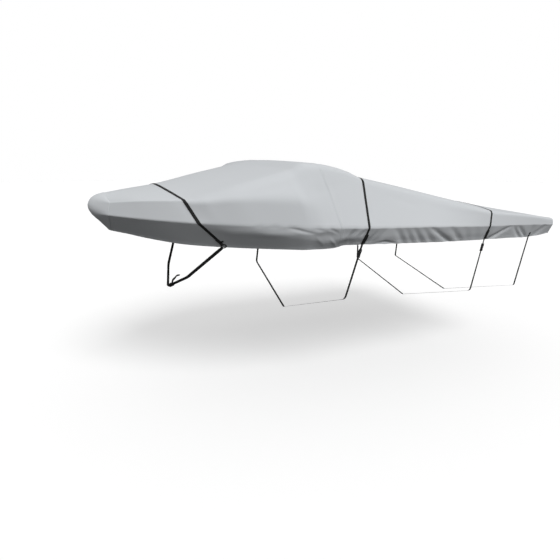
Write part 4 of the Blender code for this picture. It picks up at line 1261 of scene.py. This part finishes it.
class COVER_OT_panels(CoverOperator, bpy.types.Operator):
    """Make the nose, fore and aft panels of cloth"""
    bl_idname = "cover.panels"
    bl_label = "Cloth panels"

    def execute(self, context):
        skin = self.skin(context)
        for panel in ("nose", "fore", "aft"):
            points, faces, uv = panel_shell(skin, panel)
            made = piece(f"{panel}_panel", points, faces, bpy.data.materials["cover_cloth"],
                         uv)
            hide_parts(f"panel_{panel}")
            size, area = cut_size(skin, panel)
        return {"FINISHED"}


class COVER_OT_bow_strap(CoverOperator, bpy.types.Operator):
    """Make the bow strap with its tabs, rings, buckle and free ends"""
    bl_idname = "cover.bow_strap"
    bl_label = "Bow strap"

    def execute(self, context):
        make_bow_strap(self.skin(context), bpy.data.materials["webbing"])
        return {"FINISHED"}


class COVER_OT_girth_straps(CoverOperator, bpy.types.Operator):
    """Make the two girth straps with their tabs and buckles"""
    bl_idname = "cover.girth_straps"
    bl_label = "Girth straps"

    def execute(self, context):
        for girth in GIRTHS:
            make_girth(self.skin(context), *girth, bpy.data.materials["webbing"])
        return {"FINISHED"}


class COVER_OT_stern_tie(CoverOperator, bpy.types.Operator):
    """Make the stern tie and its tabs"""
    bl_idname = "cover.stern_tie"
    bl_label = "Stern tie"

    def execute(self, context):
        make_stern_tie(self.skin(context), bpy.data.materials["webbing"])
        return {"FINISHED"}


class COVER_OT_stage(CoverOperator, bpy.types.Operator):
    """Set the floor, backdrop, lights and camera"""
    bl_idname = "cover.stage"
    bl_label = "Stage"

    def execute(self, context):
        make_stage(context.scene)
        return {"FINISHED"}


def make_stage(scene):
    """A pale floor, white surroundings, one broad soft light and the camera."""
    scene.view_settings.view_transform = "Standard"
    make_surroundings(scene)
    floor = make_floor(scene)
    wall = make_backdrop()
    make_key(scene)
    make_camera(scene)


def glowing(name, colour, roughness, strength):
    """A paint that gives off white light of its own, and its shader."""
    paint, _, shader = new_material(name, colour, roughness)
    shader.inputs["Emission Color"].default_value = (1.0, 1.0, 1.0, 1.0)
    shader.inputs["Emission Strength"].default_value = strength
    return paint, shader


def make_surroundings(scene):
    """Light from all round, brighter from above than from below."""
    world = bpy.data.worlds.new("Studio")
    scene.world = world
    world.use_nodes = True
    tree = world.node_tree
    way = node(tree, "ShaderNodeTexCoord").outputs["Generated"]
    split = node(tree, "ShaderNodeSeparateXYZ", {"Vector": way})
    level = node(tree, "ShaderNodeMapRange", {
        "Value": split.outputs["Z"], "From Min": SKY_FADE[0], "From Max": SKY_FADE[1],
        "To Min": scene.cover_stage.below, "To Max": scene.cover_stage.sky})
    tree.links.new(level.outputs[0], tree.nodes["Background"].inputs["Color"])


def make_floor(scene):
    """A pale floor that takes shadows and lights nothing."""
    paint, _ = glowing("floor_paint", FLOOR_COLOUR, roughness=0.9, strength=FLOOR_GLOW)
    square = ((-1, -1), (1, -1), (1, 1), (-1, 1))
    corners = [(x * FLOOR_REACH, y * FLOOR_REACH, GROUND) for x, y in square]
    mesh = bpy.data.meshes.new("floor")
    mesh.from_pydata(corners, [], [(0, 1, 2, 3)])
    mesh.materials.append(paint)
    floor = bpy.data.objects.new("floor", mesh)
    scene.collection.objects.link(floor)
    floor.visible_diffuse = False
    floor.visible_glossy = False
    return floor


def make_backdrop():
    """A white globe round everything, which only the camera sees."""
    paint, shader = glowing("backdrop_paint", (0.0, 0.0, 0.0), roughness=1.0, strength=1.0)
    shader.inputs["Specular IOR Level"].default_value = 0.0
    bpy.ops.mesh.primitive_uv_sphere_add(segments=48, ring_count=24, radius=BACKDROP_RADIUS,
                                         location=(0.0, 0.0, GROUND))
    wall = bpy.context.object
    wall.name = "backdrop"
    wall.data.materials.append(paint)
    for ray in ("visible_diffuse", "visible_glossy", "visible_shadow", "visible_transmission"):
        setattr(wall, ray, False)
    return wall


def make_key(scene):
    """One broad soft light from port and above."""
    lamp = bpy.data.lights.new("Key", "SUN")
    lamp.energy = scene.cover_stage.key
    lamp.angle = KEY_ANGLE
    key = bpy.data.objects.new("Key", lamp)
    scene.collection.objects.link(key)
    key.rotation_euler = Vector(KEY_WAY).to_track_quat("-Z", "Y").to_euler()


def make_camera(scene):
    """The camera, off the port bow at about the height of the cover's top."""
    view = bpy.data.cameras.new("Camera")
    view.sensor_width = CAMERA_SENSOR
    view.lens = CAMERA_LENS
    view.clip_end = CAMERA_FAR
    camera = bpy.data.objects.new("Camera", view)
    camera.location = CAMERA_PLACE
    camera.rotation_euler = tuple(radians(angle) for angle in CAMERA_TURN)
    scene.collection.objects.link(camera)
    scene.camera = camera


class COVER_PT_panel(bpy.types.Panel):
    """The cover's sizes, colours and pieces"""
    bl_idname = "COVER_PT_panel"
    bl_label = "Boat cover"
    bl_space_type = "VIEW_3D"
    bl_region_type = "UI"
    bl_category = "Cover"

    def draw(self, context):
        scene = context.scene
        for settings in (scene.cover_cloth, scene.cover_webbing, scene.cover_stage):
            box = self.layout.box()
            for name in settings.__annotations__:
                box.prop(settings, name)
        for operator in OPERATORS:
            self.layout.operator(operator.bl_idname)


OPERATORS = (COVER_OT_finishes, COVER_OT_panels, COVER_OT_bow_strap, COVER_OT_girth_straps,
             COVER_OT_stern_tie, COVER_OT_stage)
SETTINGS = {"cover_cloth": CoverClothSettings, "cover_webbing": CoverWebbingSettings,
            "cover_stage": CoverStageSettings}


def register():
    """Adds the cover's settings, operators and panel to Blender."""
    for kind in (*SETTINGS.values(), *OPERATORS, COVER_PT_panel):
        bpy.utils.register_class(kind)
    for name, kind in SETTINGS.items():
        setattr(bpy.types.Scene, name, bpy.props.PointerProperty(type=kind))


def unregister():
    """Takes them away again."""
    for name in SETTINGS:
        delattr(bpy.types.Scene, name)
    for kind in (COVER_PT_panel, *OPERATORS[::-1], *SETTINGS.values()):
        bpy.utils.unregister_class(kind)


def main():
    """Builds the whole cover."""
    register()
    bpy.ops.cover.finishes()
    bpy.ops.cover.panels()
    bpy.ops.cover.bow_strap()
    bpy.ops.cover.girth_straps()
    bpy.ops.cover.stern_tie()
    bpy.ops.cover.stage()


if __name__ == "__main__":
    main()
